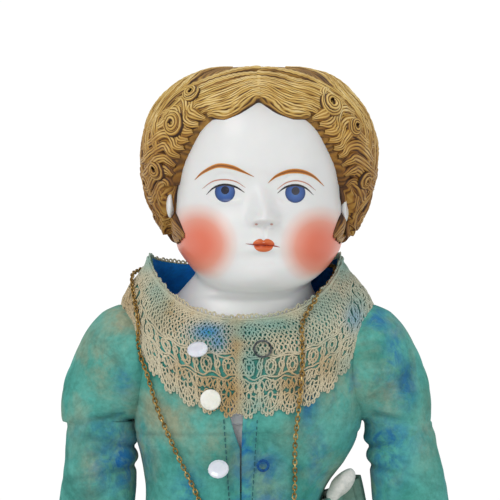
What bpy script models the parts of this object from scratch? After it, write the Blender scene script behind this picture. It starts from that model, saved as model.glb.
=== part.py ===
"""Shoulder-head china doll: bisque head and plate on a stuffed body, bisque limbs, lace-collared
jacket, skirt and petticoat. Lengths below are millimetres, and MM turns them into metres.
The doll faces -Y and stands on z = 0; its own left side is +X.

A ring is (front z, side z, back z, half width, front depth, back depth, centre x). A piece is a
loft through rings: u is the angle round from the front towards +X, s the place along the rings."""

import math

import bmesh
import bpy
from mathutils import Vector

MM = 0.001
ROUND = 2.0  # exponent of an elliptical ring
SQUARISH = 2.2  # exponent of a ring with fuller corners, as a clothed chest has
TILT_POWER = 1.3  # how fast a tilted ring climbs from the front to the side
RING_SIDES = 24
SKIRT_SIDES = 28
LIMB_SIDES = 14

CHINA_WALL = 3.5
JACKET_WALL = 1.2
SKIRT_WALL = 1.6
PETTICOAT_GAP = 0.7
PETTICOAT_WALL = 1.0
PETTICOAT_HEM_Z = 9.0
BODY_GAP = 0.9
LACE_INNER = 0.8  # above the jacket's outer face
LACE_OUTER = 1.6
TRIM_GAP = 0.5

CROWN_Z = 600.0
WAISTBAND_Z = (408.0, 418.0)

SHOULDER_Z = 471.0
HIP_X = 24.0
HIP_Z = 341.0
HIP_RADIUS = 19.0
CUFF_Z = (316.0, 329.0)

BUTTON_RADIUS = 4.45
CHAIN_RADIUS = 1.0
CHAIN_LIFT = LACE_OUTER + CHAIN_RADIUS + TRIM_GAP
CHAIN_POINTS = 64

JACKET_RINGS = [
    (396, 396, 396, 44, 37, 37, -2),
    (405, 405, 405, 39, 31.5, 31.5, -3.5),
    (412, 412, 412, 37.5, 30, 30, -4.5),
    (421, 421, 421, 38.5, 30.5, 30.5, -3.5),
    (430, 430, 430, 41.5, 32, 31.5, -1.5),
    (440, 440, 440, 44.5, 33.8, 32.5, 0),
    (450, 452, 452, 46.3, 35, 33, 0),
    (459, 465, 466, 46.5, 35.2, 33.3, 0),
    (467.5, 477, 480, 46.5, 34.2, 32.8, 0),
    (475, 487, 491, 45.3, 32.2, 31.5, 0),
    (481, 496, 499, 43.6, 29.8, 30, 0),
    (485.5, 503.5, 503, 41.5, 27.8, 28.7, 0),
    (489, 511, 506.5, 39, 26, 27.5, 0),
]
COLLAR_SEAM_S = 10.6
COLLAR_TOP_S = 12.0
SEAM_S = 0.1
LACE_FRONT_S = 6.0
LACE_SIDE_S = 9.2

PLATE_RINGS = [
    (446, 462, 448, 43.5, 31, 29.5, 0),
    (455, 470, 459, 43.8, 31.2, 29.8, 0),
    (466, 479, 472, 43, 30, 29, 0),
    (476, 487, 484, 40.5, 27.8, 27.2, 0),
    (483, 493, 493, 36.5, 25.2, 25, 0),
    (489, 498, 499.5, 32, 23.6, 23.4, 0.5),
    (494, 502, 504, 28.5, 22.3, 22, 1),
    (498.5, 506, 508.5, 26.3, 21.6, 21.2, 2),
]
HEAD_RINGS = [
    (500.5, 509, 512, 26.5, 27, 22, 3),
    (502.5, 511.5, 514.5, 28.5, 36, 25.5, 5),
    (507, 514.5, 517, 32, 41.5, 31, 5.5),
    (514, 519, 521, 35, 44.5, 37.5, 6),
    (523, 525.5, 527, 37, 46.5, 43, 6),
    (532, 533.5, 534, 40.5, 49, 47, 6),
    (542, 542, 542, 45.5, 46.5, 49.5, 6),
    (552, 552, 552, 50, 47, 51, 6),
    (562, 562, 562, 52, 48, 52, 6),
    (573, 573, 573, 50, 47, 50.5, 6),
    (583, 583, 583, 44, 42.5, 45.5, 6),
    (591, 591, 591, 34.5, 34, 36.5, 6),
    (597, 597, 597, 20, 20.5, 22, 6),
]
BODY_RINGS = [
    (361.5, 361.5, 361.5, 40, 27, 30, 0),
    (368, 368, 368, 44.5, 32, 36, 0),
    (380, 380, 380, 43.5, 33, 35, -1),
    (396, 396, 396, 36.8, 29.6, 30, -2.5),
    (405, 405, 405, 31.8, 24, 24.2, -4),
    (412, 412, 412, 31.4, 23.6, 23.6, -4.5),
    (418, 418, 418, 31.4, 23.8, 23.8, -4),
    (428, 434, 428, 37, 27.5, 26.5, -1.5),
    (438, 448, 438, 39, 27, 26, 0),
]
SKIRT_RINGS = [
    (407.6, 407.6, 407.6, 36.3, 28.7, 28.7, -4),
    (396, 396, 396, 41.5, 34.5, 34.8, -2.5),
    (385, 385, 385, 48, 41.5, 43, -1),
    (370, 370, 370, 54, 48.5, 51, 0),
    (350, 350, 350, 59.5, 56, 59, 0),
    (318, 318, 318, 66.5, 65, 69, 0),
    (290, 290, 290, 72.5, 73, 78, 0),
    (250, 250, 250, 83, 84, 90, 0),
    (200, 200, 200, 98, 98, 104, 0),
    (150, 150, 150, 112, 112, 117, 0),
    (100, 100, 100, 126, 125, 128, 0),
    (50, 50, 50, 139, 136, 137, 0),
    (0, 0, 0, 150, 145, 145, 0),
]

# Centre x of each arm at some heights: the left hangs a little out from the body.
ARM_LINES = {
    "left": [(486, 64), (471, 64), (440, 66), (412, 70), (390, 73.5), (350, 82), (318, 88), (270, 93)],
    "right": [(486, -64), (471, -64), (440, -63), (412, -62), (390, -65), (350, -77), (318, -86.5), (270, -92)],
}
SLEEVE_RADII = [
    (484.6, 3.5), (483.6, 6.5), (481.5, 9.3), (477.5, 12), (471, 13.3), (458, 13.3), (444, 13.6),
    (430, 14.5), (412, 15.5), (390, 15.5), (368, 15), (346, 14), (329.5, 12.6),
]
UPPER_ARM_RADII = [(481, 4), (479, 7), (475.5, 9.3), (470, 10.3), (440, 10.8), (412, 11), (384.4, 9.5)]
FOREARM_SHAPE = [  # z, half width in x, half depth in y
    (384, 8.6, 8.6), (365, 9.4, 9.4), (345, 8.8, 9), (325, 7, 7.4), (316, 6.2, 6.8), (309, 6, 8),
    (300, 5.8, 9.6), (291, 5.4, 9.4), (283, 4.6, 8), (276, 3.6, 6), (272.5, 2, 3.4),
]
THIGH_RADII = [
    (359.9, 3.2), (358.6, 7), (355, 12.3), (349, 17), (341, 19), (330, 19), (300, 18.5), (250, 17),
    (210, 15), (190.4, 14),
]
CALF_SHAPE = [  # z, half width, front depth, back depth
    (190, 13.6, 13.6, 13.6), (165, 14.2, 13.2, 16), (140, 13.6, 12.4, 15.6), (105, 11, 10.4, 12.4),
    (70, 9, 8.8, 9.8), (50, 8.8, 9, 9.8), (36, 9.2, 12, 11), (26, 9.8, 20, 12), (18, 10.4, 28, 12.6),
    (12, 10.8, 32, 13), (7, 10.8, 33, 13),
]

# The closed necklace: strands as (x, z) down the front, then the part round the neck.
CHAIN_RIGHT_FRONT = [(-43, 500), (-44, 490), (-43.5, 478), (-40.4, 466.7), (-36, 450), (-30, 434), (-20, 412)]
CHAIN_LEFT_FRONT = [(24.5, 484), (24.5, 472), (23.7, 458), (21.5, 439), (20, 423), (19.4, 412)]
CHAIN_BOTTOM = [(-13, 396), (-7.5, 378), (-3, 366), (0.5, 362.5), (4, 366), (9.5, 378), (15.5, 396)]

COLOURS = {
    "bisque": ((0.86, 0.85, 0.84), 0.35, 0.0),
    "muslin": ((0.72, 0.66, 0.54), 0.95, 0.0),
    "jacket_cotton": ((0.16, 0.42, 0.40), 0.9, 0.0),
    "blue_lining": ((0.01, 0.12, 0.55), 0.9, 0.0),
    "lace": ((0.62, 0.55, 0.38), 0.95, 0.0),
    "china_button": ((0.80, 0.82, 0.84), 0.2, 0.0),
    "pearl_button": ((0.82, 0.80, 0.72), 0.3, 0.0),
    "steel_wire": ((0.30, 0.30, 0.30), 0.35, 1.0),
    "thread": ((0.02, 0.10, 0.30), 0.9, 0.0),
    "gilt_chain": ((0.35, 0.20, 0.05), 0.4, 1.0),
    "skirt_cotton": ((0.10, 0.34, 0.34), 0.9, 0.0),
    "white_cotton": ((0.80, 0.79, 0.75), 0.95, 0.0),
    "boot_glaze": ((0.75, 0.74, 0.72), 0.3, 0.0),
}


def clear_scene():
    for old in list(bpy.data.objects):
        bpy.data.objects.remove(old, do_unlink=True)


def material(name):
    found = bpy.data.materials.get(name)
    if found:
        return found
    colour, roughness, metallic = COLOURS[name]
    made = bpy.data.materials.new(name)
    made.use_nodes = True
    shader = made.node_tree.nodes["Principled BSDF"]
    shader.inputs["Base Color"].default_value = (*colour, 1.0)
    shader.inputs["Roughness"].default_value = roughness
    shader.inputs["Metallic"].default_value = metallic
    return made


def pivot(name, x, z):
    """An empty on a joint's axis, which the pieces that turn about it are parented to."""
    empty = bpy.data.objects.new(name, None)
    empty.location = Vector((x, 0, z)) * MM
    bpy.context.scene.collection.objects.link(empty)
    return empty


def add_object(name, points, faces, colour, parent=None):
    """A closed mesh from points in millimetres; under a parent, its origin is the parent's."""
    origin = parent.location.copy() if parent else Vector()
    mesh = bpy.data.meshes.new(name)
    mesh.from_pydata([Vector(p) * MM - origin for p in points], [], faces)
    work = bmesh.new()
    work.from_mesh(mesh)
    bmesh.ops.recalc_face_normals(work, faces=work.faces)
    work.to_mesh(mesh)
    work.free()
    mesh.shade_smooth()
    mesh.set_sharp_from_angle(angle=math.radians(40))
    mesh.materials.append(material(colour))
    made = bpy.data.objects.new(name, mesh)
    made.parent = parent
    bpy.context.scene.collection.objects.link(made)
    return made


# ---- rings and lofts -------------------------------------------------------------------------


def signed_power(value, power):
    return math.copysign(abs(value) ** power, value)


def ring_at(rings, s):
    """The ring at place s, on a Catmull-Rom curve through all of them."""
    last = len(rings) - 1
    i = min(max(int(math.floor(s)), 0), last - 1)
    t = s - i
    before, start, end, after = (rings[min(max(i + k, 0), last)] for k in (-1, 0, 1, 2))
    weights = (
        -0.5 * t + t * t - 0.5 * t**3,
        1 - 2.5 * t * t + 1.5 * t**3,
        0.5 * t + 2 * t * t - 1.5 * t**3,
        -0.5 * t * t + 0.5 * t**3,
    )
    return [sum(w * v for w, v in zip(weights, column)) for column in zip(before, start, end, after)]


def ring_point(ring, u, power=ROUND):
    front_z, side_z, back_z, width, front, back, centre_x = ring
    across, along = math.sin(u), math.cos(u)
    lift = abs(along) ** TILT_POWER
    end_z, depth = (front_z, front) if along > 0 else (back_z, back)
    return Vector((
        centre_x + width * signed_power(across, 2 / power),
        -depth * signed_power(along, 2 / power),
        side_z + (end_z - side_z) * lift,
    ))


def offset_point(rings, u, s, distance, power=ROUND):
    """The point at (u, s), moved out along the surface's normal."""
    step = 0.02
    point = ring_point(ring_at(rings, s), u, power)
    if distance == 0:
        return point
    round_it = ring_point(ring_at(rings, s), u + step, power) - ring_point(ring_at(rings, s), u - step, power)
    low, high = max(s - step, 0), min(s + step, len(rings) - 1)
    along = ring_point(ring_at(rings, high), u, power) - ring_point(ring_at(rings, low), u, power)
    normal = round_it.cross(along).normalized()
    if normal.dot(Vector((math.sin(u), -math.cos(u), 0))) < 0:
        normal = -normal
    return point + normal * distance


def full_turn(sides):
    return [2 * math.pi * k / sides for k in range(sides)]


def loft_grid(rings, sides=RING_SIDES, distance=0.0, power=ROUND):
    return [[offset_point(rings, u, s, distance, power) for u in full_turn(sides)] for s in range(len(rings))]


def inset(rings, distance):
    """The same rings drawn in by a distance, at the same heights."""
    return [(f, m, b, w - distance, df - distance, db - distance, x) for f, m, b, w, df, db, x in rings]


def level_rings(shape, line=None):
    """Level rings from (z, half width[, front depth[, back depth]]) about a centre line."""
    rings = []
    for z, width, *depths in shape:
        front = depths[0] if depths else width
        back = depths[1] if len(depths) > 1 else front
        rings.append((z, z, z, width, front, back, along_line(line, z) if line else 0))
    return rings


def along_line(line, z):
    """The centre x at height z, on straight runs between the line's points, which fall in z."""
    for (high_z, high_x), (low_z, low_x) in zip(line, line[1:]):
        if z >= low_z:
            share = (high_z - z) / (high_z - low_z)
            return high_x + (low_x - high_x) * share
    return line[-1][1]


def strip_faces(upper, lower, wrap):
    count = len(upper)
    return [
        (upper[j], upper[(j + 1) % count], lower[(j + 1) % count], lower[j])
        for j in range(count if wrap else count - 1)
    ]


def grid_faces(index, wrap):
    faces = []
    for upper, lower in zip(index, index[1:]):
        faces += strip_faces(upper, lower, wrap)
    return faces


def numbered(grid, start):
    width = len(grid[0])
    return [[start + i * width + j for j in range(width)] for i in range(len(grid))]


def flat(grid):
    return [p for row in grid for p in row]


def fan(rim, tip):
    return [(rim[j], rim[(j + 1) % len(rim)], tip) for j in range(len(rim))]


def middle(row):
    return sum(row, Vector()) / len(row)


def solid(name, grid, colour, parent=None, tips=(None, None)):
    """A loft closed at each end by a fan to a tip, or to the ring's own middle."""
    points = flat(grid)
    index = numbered(grid, 0)
    faces = grid_faces(index, True)
    for rim, row, tip in ((index[0], grid[0], tips[0]), (index[-1], grid[-1], tips[1])):
        points.append(tip or middle(row))
        faces += fan(rim, len(points) - 1)
    return add_object(name, points, faces, colour, parent)


def shell(name, outer, inner, colour, parent=None, wrap=True, tips=None):
    """Two like grids joined along their edges; tips close the last row of each, as a cup's base."""
    points = flat(outer) + flat(inner)
    out_index = numbered(outer, 0)
    in_index = numbered(inner, len(points) // 2)
    faces = grid_faces(out_index, wrap) + grid_faces(in_index, wrap)
    faces += strip_faces(out_index[0], in_index[0], wrap)
    if tips:
        for rim, tip in ((out_index[-1], tips[0]), (in_index[-1], tips[1])):
            points.append(tip)
            faces += fan(rim, len(points) - 1)
    else:
        faces += strip_faces(out_index[-1], in_index[-1], wrap)
    if not wrap:
        for side in (0, -1):
            edge_out = [row[side] for row in out_index]
            edge_in = [row[side] for row in in_index]
            faces += strip_faces(edge_out, edge_in, False)
    return add_object(name, points, faces, colour, parent)


def tube_shell(name, rings, wall, colour, parent=None, sides=RING_SIDES):
    """A ring-shaped or tubular shell, open at both ends."""
    outer = loft_grid(rings, sides)
    return shell(name, outer, loft_grid(inset(rings, wall), sides), colour, parent)


def jacket_patch(name, u_range, s_low, s_high, lift, wall, colour, columns, rows):
    """A patch of the jacket's surface, lifted off it; s_low may depend on the angle."""
    start, end = (math.radians(degrees) for degrees in u_range)

    def grid(distance):
        made = []
        for i in range(rows + 1):
            row = []
            for j in range(columns + 1):
                u = start + (end - start) * j / columns
                low = s_low(u)
                row.append(offset_point(JACKET_RINGS, u, low + (s_high - low) * i / rows, distance, SQUARISH))
            made.append(row)
        return made

    return shell(name, grid(lift), grid(lift - wall), colour, wrap=False)


def jacket_front(x, z, lift=0.0):
    """The point of the jacket's front at (x, z), lifted off the surface."""
    u, low_s, high_s = 0.0, 0.0, COLLAR_TOP_S
    for _ in range(8):
        low_s, high_s = 0.0, COLLAR_TOP_S
        for _ in range(24):
            s = (low_s + high_s) / 2
            if ring_point(ring_at(JACKET_RINGS, s), u, SQUARISH).z < z:
                low_s = s
            else:
                high_s = s
        ring = ring_at(JACKET_RINGS, s)
        share = max(-1.0, min(1.0, (x - ring[6]) / ring[3]))
        u = math.asin(signed_power(share, SQUARISH / 2))
    return offset_point(JACKET_RINGS, u, s, lift, SQUARISH)


def outward(x, z):
    return (jacket_front(x, z, 1.0) - jacket_front(x, z)).normalized()


# ---- the doll itself -------------------------------------------------------------------------


def shoulder_head():
    """Head, moulded hair, neck and shoulder plate: one hollow casting, open underneath."""
    rings = PLATE_RINGS + HEAD_RINGS
    centre_x = HEAD_RINGS[-1][6]
    tips = (Vector((centre_x, 0, CROWN_Z)), Vector((centre_x, 0, CROWN_Z - CHINA_WALL)))
    outer = loft_grid(rings)
    inner = loft_grid(rings, distance=-CHINA_WALL)
    for outside, inside in zip(outer[0], inner[0]):
        inside.z = outside.z
    shell("shoulder_head", outer, inner, "bisque", tips=tips)


def torso_body():
    """The stuffed cloth body; its top fills the hollow of the shoulder plate."""
    inside_plate = loft_grid(PLATE_RINGS, distance=-CHINA_WALL - BODY_GAP)
    solid("torso_body", loft_grid(BODY_RINGS) + inside_plate, "muslin")


def arm(side):
    line = ARM_LINES[side]
    joint = pivot(f"shoulder_{side}_joint", along_line(line, SHOULDER_Z), SHOULDER_Z)

    def limb(shape):
        return loft_grid(level_rings(shape, line), LIMB_SIDES)

    solid(f"upper_arm_{side}", limb(UPPER_ARM_RADII), "muslin", joint)
    solid(f"forearm_{side}", limb(FOREARM_SHAPE), "bisque", joint)
    sleeve = [(z, r) for z, r in reversed(SLEEVE_RADII)]
    lining = [(min(z, SLEEVE_RADII[0][0] - JACKET_WALL - 1.5 + k * 0.01), r - JACKET_WALL)
              for k, (z, r) in enumerate(sleeve)]
    top_x = along_line(line, SLEEVE_RADII[0][0])
    tips = (Vector((top_x, 0, SLEEVE_RADII[0][0] + 0.6)), Vector((top_x, 0, lining[-1][0] + 0.2)))
    shell(f"sleeve_{side}", limb(sleeve), limb(lining), "jacket_cotton", joint, tips=tips)
    cuff = level_rings([(z, 13.2) for z in CUFF_Z], line)
    tube_shell(f"cuff_{side}", cuff, JACKET_WALL, "jacket_cotton", joint, LIMB_SIDES)


def leg(side, sign):
    joint = pivot(f"hip_{side}_joint", sign * HIP_X, HIP_Z)
    line = [(HIP_Z + HIP_RADIUS, sign * HIP_X), (0, sign * HIP_X)]

    def limb(shape):
        return loft_grid(level_rings(shape, line), LIMB_SIDES)

    solid(f"thigh_{side}", limb(THIGH_RADII), "muslin", joint)
    solid(f"lower_leg_{side}", limb(CALF_SHAPE), "boot_glaze", joint)


# ---- its clothes -----------------------------------------------------------------------------


def jacket():
    """Back, two fronts that meet down the middle, and the standing collar band."""
    def hem(_):
        return 0.0

    top = COLLAR_SEAM_S - SEAM_S
    for name, u_range, columns in (
        ("jacket_front_left", (-1.5, 89.6), 10),
        ("jacket_back", (90.4, 269.6), 18),
        ("jacket_front_right", (270.4, 357.3), 10),
    ):
        jacket_patch(name, u_range, hem, top, 0.0, JACKET_WALL, "jacket_cotton", columns, 11)

    def seam(_):
        return COLLAR_SEAM_S

    jacket_patch("collar_band", (14, 346), seam, COLLAR_TOP_S, 0.0, JACKET_WALL, "blue_lining", 32, 2)


def lace_edge(u):
    """Where the lace ends on the jacket: low in front, high on the shoulders."""
    side = abs(math.sin(u)) if math.cos(u) > 0 else 1.0
    return LACE_FRONT_S + (LACE_SIDE_S - LACE_FRONT_S) * side**TILT_POWER


def lace_collar():
    wall = LACE_OUTER - LACE_INNER
    for name, u_range in (("lace_collar_left", (0.5, 179.0)), ("lace_collar_right", (181.0, 355.5))):
        jacket_patch(name, u_range, lace_edge, COLLAR_TOP_S - SEAM_S, LACE_OUTER, wall, "lace", 18, 5)


def turned(name, profile, x, z, lift, tip_up, colour, sides=16):
    """A small turned piece, such as a button, whose axis leaves the jacket's front at (x, z)."""
    axis = (outward(x, z) + Vector((0, 0, tip_up))).normalized()
    base = jacket_front(x, z, lift)
    side = axis.cross(Vector((0, 0, 1))).normalized()
    up = side.cross(axis)
    grid = [
        [base + axis * height + (side * math.sin(a) + up * math.cos(a)) * radius for a in full_turn(sides)]
        for radius, height in profile
    ]
    return grid, colour, name


def button(name, x, z, thickness, tip_up, colour):
    """A small round button, thinner at its edge; tip_up leans its face upwards."""
    r = BUTTON_RADIUS
    profile = [(r * 0.6, 0), (r * 0.93, thickness * 0.2), (r, thickness * 0.5),
               (r * 0.93, thickness * 0.8), (r * 0.6, thickness)]
    stand_off = LACE_OUTER + TRIM_GAP + r * math.sin(math.atan(tip_up))
    grid, colour, name = turned(name, profile, x, z, stand_off, tip_up, colour)
    solid(name, grid, colour)


def ring_of_wire(name, x, z, radius, wire, colour):
    """A closed ring lying on the jacket's front."""
    ring_sides = 6
    profile = [
        (radius + wire * math.cos(a), wire * (1 + math.sin(a))) for a in full_turn(ring_sides)
    ]
    grid, colour, name = turned(name, profile, x, z, LACE_OUTER + TRIM_GAP, 0.0, colour, 16)
    grid.append(grid[0])
    index = numbered(grid[:-1], 0)
    index.append(index[0])
    add_object(name, flat(grid[:-1]), grid_faces(index, True), colour)


def fastenings():
    button("china_button_upper", -18.5, 475.3, 2.6, 0.9, "china_button")
    button("pearl_button", -13.8, 456.8, 1.5, 0.0, "pearl_button")
    button("china_button_middle", -10.3, 428.0, 2.6, 0.9, "china_button")
    button("china_button_lower", -7.5, 404.0, 2.6, 0.6, "china_button")
    ring_of_wire("wire_ring", 7.3, 477.0, 3.6, 0.45, "steel_wire")
    ring_of_wire("worked_buttonhole", 7.3, 429.7, 2.2, 0.6, "thread")


def skirt_front(x, z, lift):
    """The point of the skirt's front at (x, z)."""
    s = next(k for k in range(len(SKIRT_RINGS)) if SKIRT_RINGS[k + 1][0] <= z)
    span = SKIRT_RINGS[s][0] - SKIRT_RINGS[s + 1][0]
    ring = ring_at(SKIRT_RINGS, s + (SKIRT_RINGS[s][0] - z) / span)
    depth = ring[4] * math.sqrt(1 - ((x - ring[6]) / ring[3]) ** 2)
    return Vector((x, -depth - lift, z))


def necklace_route():
    """The closed line that the chain lies along, as hand-set points on the clothes."""
    def collar_point(degrees, s, lift):
        return offset_point(JACKET_RINGS, math.radians(degrees), s, lift, SQUARISH)

    down = [jacket_front(x, z, CHAIN_LIFT) for x, z in CHAIN_RIGHT_FRONT]
    bottom = [skirt_front(x, min(z, 385), CHAIN_LIFT) for x, z in CHAIN_BOTTOM]
    for point, (_, z) in zip(bottom, CHAIN_BOTTOM):
        point.z = z
    bottom[0] = jacket_front(-13, 398, CHAIN_LIFT + 1)
    bottom[-1] = jacket_front(15.5, 398, CHAIN_LIFT + 1)
    up = [jacket_front(x, z, CHAIN_LIFT) for x, z in reversed(CHAIN_LEFT_FRONT)]
    above = Vector((0, 0, 2.6))
    over_edge = [collar_point(35, 11.2, CHAIN_LIFT), collar_point(40, 12, 2.8) + above * 0.7,
                 collar_point(46, 12, 0) + above * 1.3, collar_point(53, 12, -2.8) + above * 1.2]
    inside = [collar_point(d, 11.7, -4.2) for d in (63, 82, 105, 126)]
    over_back = [collar_point(140, 12, -2.6) + above * 0.8, collar_point(150, 12, 0) + above * 1.2,
                 collar_point(160, 12, 2.4) + above * 0.8]
    outside = [collar_point(d, 11, CHAIN_LIFT) for d in (172, 200, 230, 256)]
    return down + bottom + up + over_edge + inside + over_back + outside


def smooth_loop(points, count):
    """Points evenly placed along a closed Catmull-Rom curve through the given ones."""
    size = len(points)
    fine = []
    for i in range(size):
        a, b, c, d = (points[(i + k) % size] for k in (-1, 0, 1, 2))
        for step in range(12):
            t = step / 12
            fine.append(0.5 * (2 * b + (c - a) * t + (2 * a - 5 * b + 4 * c - d) * t * t
                               + (3 * b - 3 * c + d - a) * t**3))
    lengths = [0.0]
    for here, there in zip(fine, fine[1:] + fine[:1]):
        lengths.append(lengths[-1] + (there - here).length)
    even, k = [], 0
    for n in range(count):
        wanted = lengths[-1] * n / count
        while lengths[k + 1] < wanted:
            k += 1
        share = (wanted - lengths[k]) / (lengths[k + 1] - lengths[k])
        even.append(fine[k].lerp(fine[(k + 1) % len(fine)], share))
    return even


def necklace():
    """The long chain as one closed tube, with its clasp at the nape."""
    curve = bpy.data.curves.new("necklace_chain", "CURVE")
    curve.dimensions = "3D"
    curve.bevel_depth = CHAIN_RADIUS * MM
    curve.bevel_resolution = 2
    spline = curve.splines.new("POLY")
    route = smooth_loop(necklace_route(), CHAIN_POINTS)
    spline.points.add(len(route) - 1)
    for point, place in zip(spline.points, route):
        point.co = (*(place * MM), 1.0)
    spline.use_cyclic_u = True
    curve.materials.append(material("gilt_chain"))
    chain = bpy.data.objects.new("necklace_chain", curve)
    bpy.context.scene.collection.objects.link(chain)
    clasp_at = offset_point(JACKET_RINGS, math.radians(186), 10.2, CHAIN_LIFT + 0.5, SQUARISH)
    clasp = [
        [clasp_at + Vector((along, radius * math.cos(a), radius * math.sin(a))) for a in full_turn(12)]
        for along, radius in ((-4, 0.8), (-3, 1.6), (3, 1.6), (4, 0.8))
    ]
    solid("chain_clasp", clasp, "gilt_chain")


def petticoat_rings():
    """Rings just inside the skirt, down to a hem that clears the floor."""
    inside = inset(SKIRT_RINGS, SKIRT_WALL + PETTICOAT_GAP)
    hem = ring_at(inside, len(inside) - 1 - PETTICOAT_HEM_Z / 50)
    hem[0] = hem[1] = hem[2] = PETTICOAT_HEM_Z
    return inside[:-1] + [tuple(hem)]


def skirts():
    tube_shell("skirt", SKIRT_RINGS, SKIRT_WALL, "skirt_cotton", sides=SKIRT_SIDES)
    tube_shell("petticoat", petticoat_rings(), PETTICOAT_WALL, "white_cotton", sides=SKIRT_SIDES)
    low, high = WAISTBAND_Z
    for name, width, depth, colour in (
        ("skirt_waistband", 35.6, 28.1, "skirt_cotton"),
        ("petticoat_waistband", 34.1, 26.6, "white_cotton"),
    ):
        band = [(z, z, z, width, depth, depth, x) for z, x in ((low, -4.2), (high, -4.0))]
        tube_shell(name, band, 1.0, colour)


def petticoat_tie():
    """The knot of the petticoat's white tape, which shows at the left of the waist."""
    centre, half_length, half_width, half_height = Vector((41.5, -8, 417.5)), 6.4, 3.4, 4.2
    grid = []
    for k in range(1, 8):
        angle = math.pi * k / 8
        x = -half_length * math.cos(angle)
        grid.append([
            centre + Vector((x, half_width * math.sin(angle) * math.cos(a),
                             half_height * math.sin(angle) * math.sin(a)))
            for a in full_turn(12)
        ])
    tips = (centre - Vector((half_length, 0, 0)), centre + Vector((half_length, 0, 0)))
    solid("petticoat_tie", grid, "white_cotton", tips=tips)


def main():
    clear_scene()
    shoulder_head()
    torso_body()
    for side, sign in (("left", 1), ("right", -1)):
        arm(side)
        leg(side, sign)
    jacket()
    lace_collar()
    fastenings()
    necklace()
    skirts()
    petticoat_tie()


main()
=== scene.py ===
"""The doll's looks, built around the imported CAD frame. Lengths are millimetres until a mesh is made.
The doll faces -Y and its own left side is +X. A ring is (front z, side z, back z, half width,
front depth, back depth, centre x); u is the angle round from the front towards +X, s the place
along the rings."""

import math

import bpy
import numpy as np
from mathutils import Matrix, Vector
from mathutils.bvhtree import BVHTree


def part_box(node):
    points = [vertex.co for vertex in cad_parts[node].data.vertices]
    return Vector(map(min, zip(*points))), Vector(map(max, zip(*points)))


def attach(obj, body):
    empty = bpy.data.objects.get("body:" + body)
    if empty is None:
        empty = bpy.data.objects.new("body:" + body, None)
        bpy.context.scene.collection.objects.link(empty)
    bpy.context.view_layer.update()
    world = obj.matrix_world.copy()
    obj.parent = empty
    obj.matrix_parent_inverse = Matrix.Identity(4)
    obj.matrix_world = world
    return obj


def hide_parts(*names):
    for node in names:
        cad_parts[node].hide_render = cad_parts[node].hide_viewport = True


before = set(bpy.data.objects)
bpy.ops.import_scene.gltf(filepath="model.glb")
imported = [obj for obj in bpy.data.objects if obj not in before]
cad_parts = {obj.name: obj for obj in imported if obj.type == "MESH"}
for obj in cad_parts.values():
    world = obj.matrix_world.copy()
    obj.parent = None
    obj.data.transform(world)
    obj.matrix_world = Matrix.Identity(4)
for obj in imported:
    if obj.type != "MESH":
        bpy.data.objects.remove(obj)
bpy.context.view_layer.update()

MM = 0.001
TORSO = "torso"
TAU = 2 * math.pi
VIEW_CENTRE = (2.15, 519.2)
VIEW_WIDTH = 215.0
CAMERA_DISTANCE = 1170.0
VIEWER = Vector((VIEW_CENTRE[0], -CAMERA_DISTANCE, VIEW_CENTRE[1]))

# ---- mesh helpers ----------------------------------------------------------------------------


def make_mesh(name, points, faces, material, attributes=None, smooth=True):
    """An object from points in millimetres and an array or list of faces, with float attributes on its
    points."""
    points = np.asarray(points, float).reshape(-1, 3)
    mesh = bpy.data.meshes.new(name)
    mesh.from_pydata((points * MM).tolist(), [], faces.tolist() if isinstance(faces, np.ndarray) else faces)
    for key, values in (attributes or {}).items():
        layer = mesh.attributes.new(key, "FLOAT", "POINT")
        layer.data.foreach_set("value", np.asarray(values, np.float32).reshape(-1))
    if smooth:
        mesh.shade_smooth()
    mesh.materials.append(material)
    made = bpy.data.objects.new(name, mesh)
    bpy.context.scene.collection.objects.link(made)
    return made


def grid_faces(rows, columns, wrap=False, start=0, flip=False):
    """Quads over a grid of points stored row by row."""
    i = np.arange(rows - 1)[:, None]
    j = np.arange(columns if wrap else columns - 1)[None, :]
    k = (j + 1) % columns
    a, b = i * columns + j, i * columns + k
    c, d = (i + 1) * columns + k, (i + 1) * columns + j
    quads = np.stack([a, b, c, d] if not flip else [d, c, b, a], -1).reshape(-1, 4)
    return quads + start


def closed_tube(grid):
    """Points and faces of rings wrapped round, with each end closed by a fan."""
    rows, columns = grid.shape[:2]
    points = np.concatenate([grid.reshape(-1, 3), [grid[0].mean(0), grid[-1].mean(0)]])
    j = np.arange(columns)
    k = (j + 1) % columns
    top = (rows - 1) * columns
    faces = grid_faces(rows, columns, True).tolist()
    faces += np.stack([k, j, np.full(columns, rows * columns)], -1).tolist()
    faces += np.stack([top + j, top + k, np.full(columns, rows * columns + 1)], -1).tolist()
    return points, faces


def normals(grid, wrap=False):
    """Unit normals of a grid of points, outward for u across and s upward."""
    if wrap:
        across = np.roll(grid, -1, 1) - np.roll(grid, 1, 1)
    else:
        across = np.gradient(grid, axis=1)
    along = np.gradient(grid, axis=0)
    found = np.cross(across, along)
    return found / np.maximum(np.linalg.norm(found, axis=-1, keepdims=True), 1e-9)


def catmull(rows, s):
    """Rows of numbers read at the places s, on a Catmull-Rom curve."""
    rows = np.asarray(rows, float)
    last = len(rows) - 1
    s = np.asarray(s, float)
    i = np.clip(np.floor(s).astype(int), 0, last - 1)
    t = (s - i)[..., None]
    before, start, end, after = (rows[np.clip(i + k, 0, last)] for k in (-1, 0, 1, 2))
    return 0.5 * (
        2 * start
        + (end - before) * t
        + (2 * before - 5 * start + 4 * end - after) * t**2
        + (3 * start - 3 * end + after - before) * t**3
    )


def seen(points):
    """Where points appear from the viewer, as (x, z) on the plane y = 0."""
    near = CAMERA_DISTANCE / (CAMERA_DISTANCE + points[..., 1])
    x = VIEW_CENTRE[0] + (points[..., 0] - VIEW_CENTRE[0]) * near
    z = VIEW_CENTRE[1] + (points[..., 2] - VIEW_CENTRE[1]) * near
    return x, z


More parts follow.
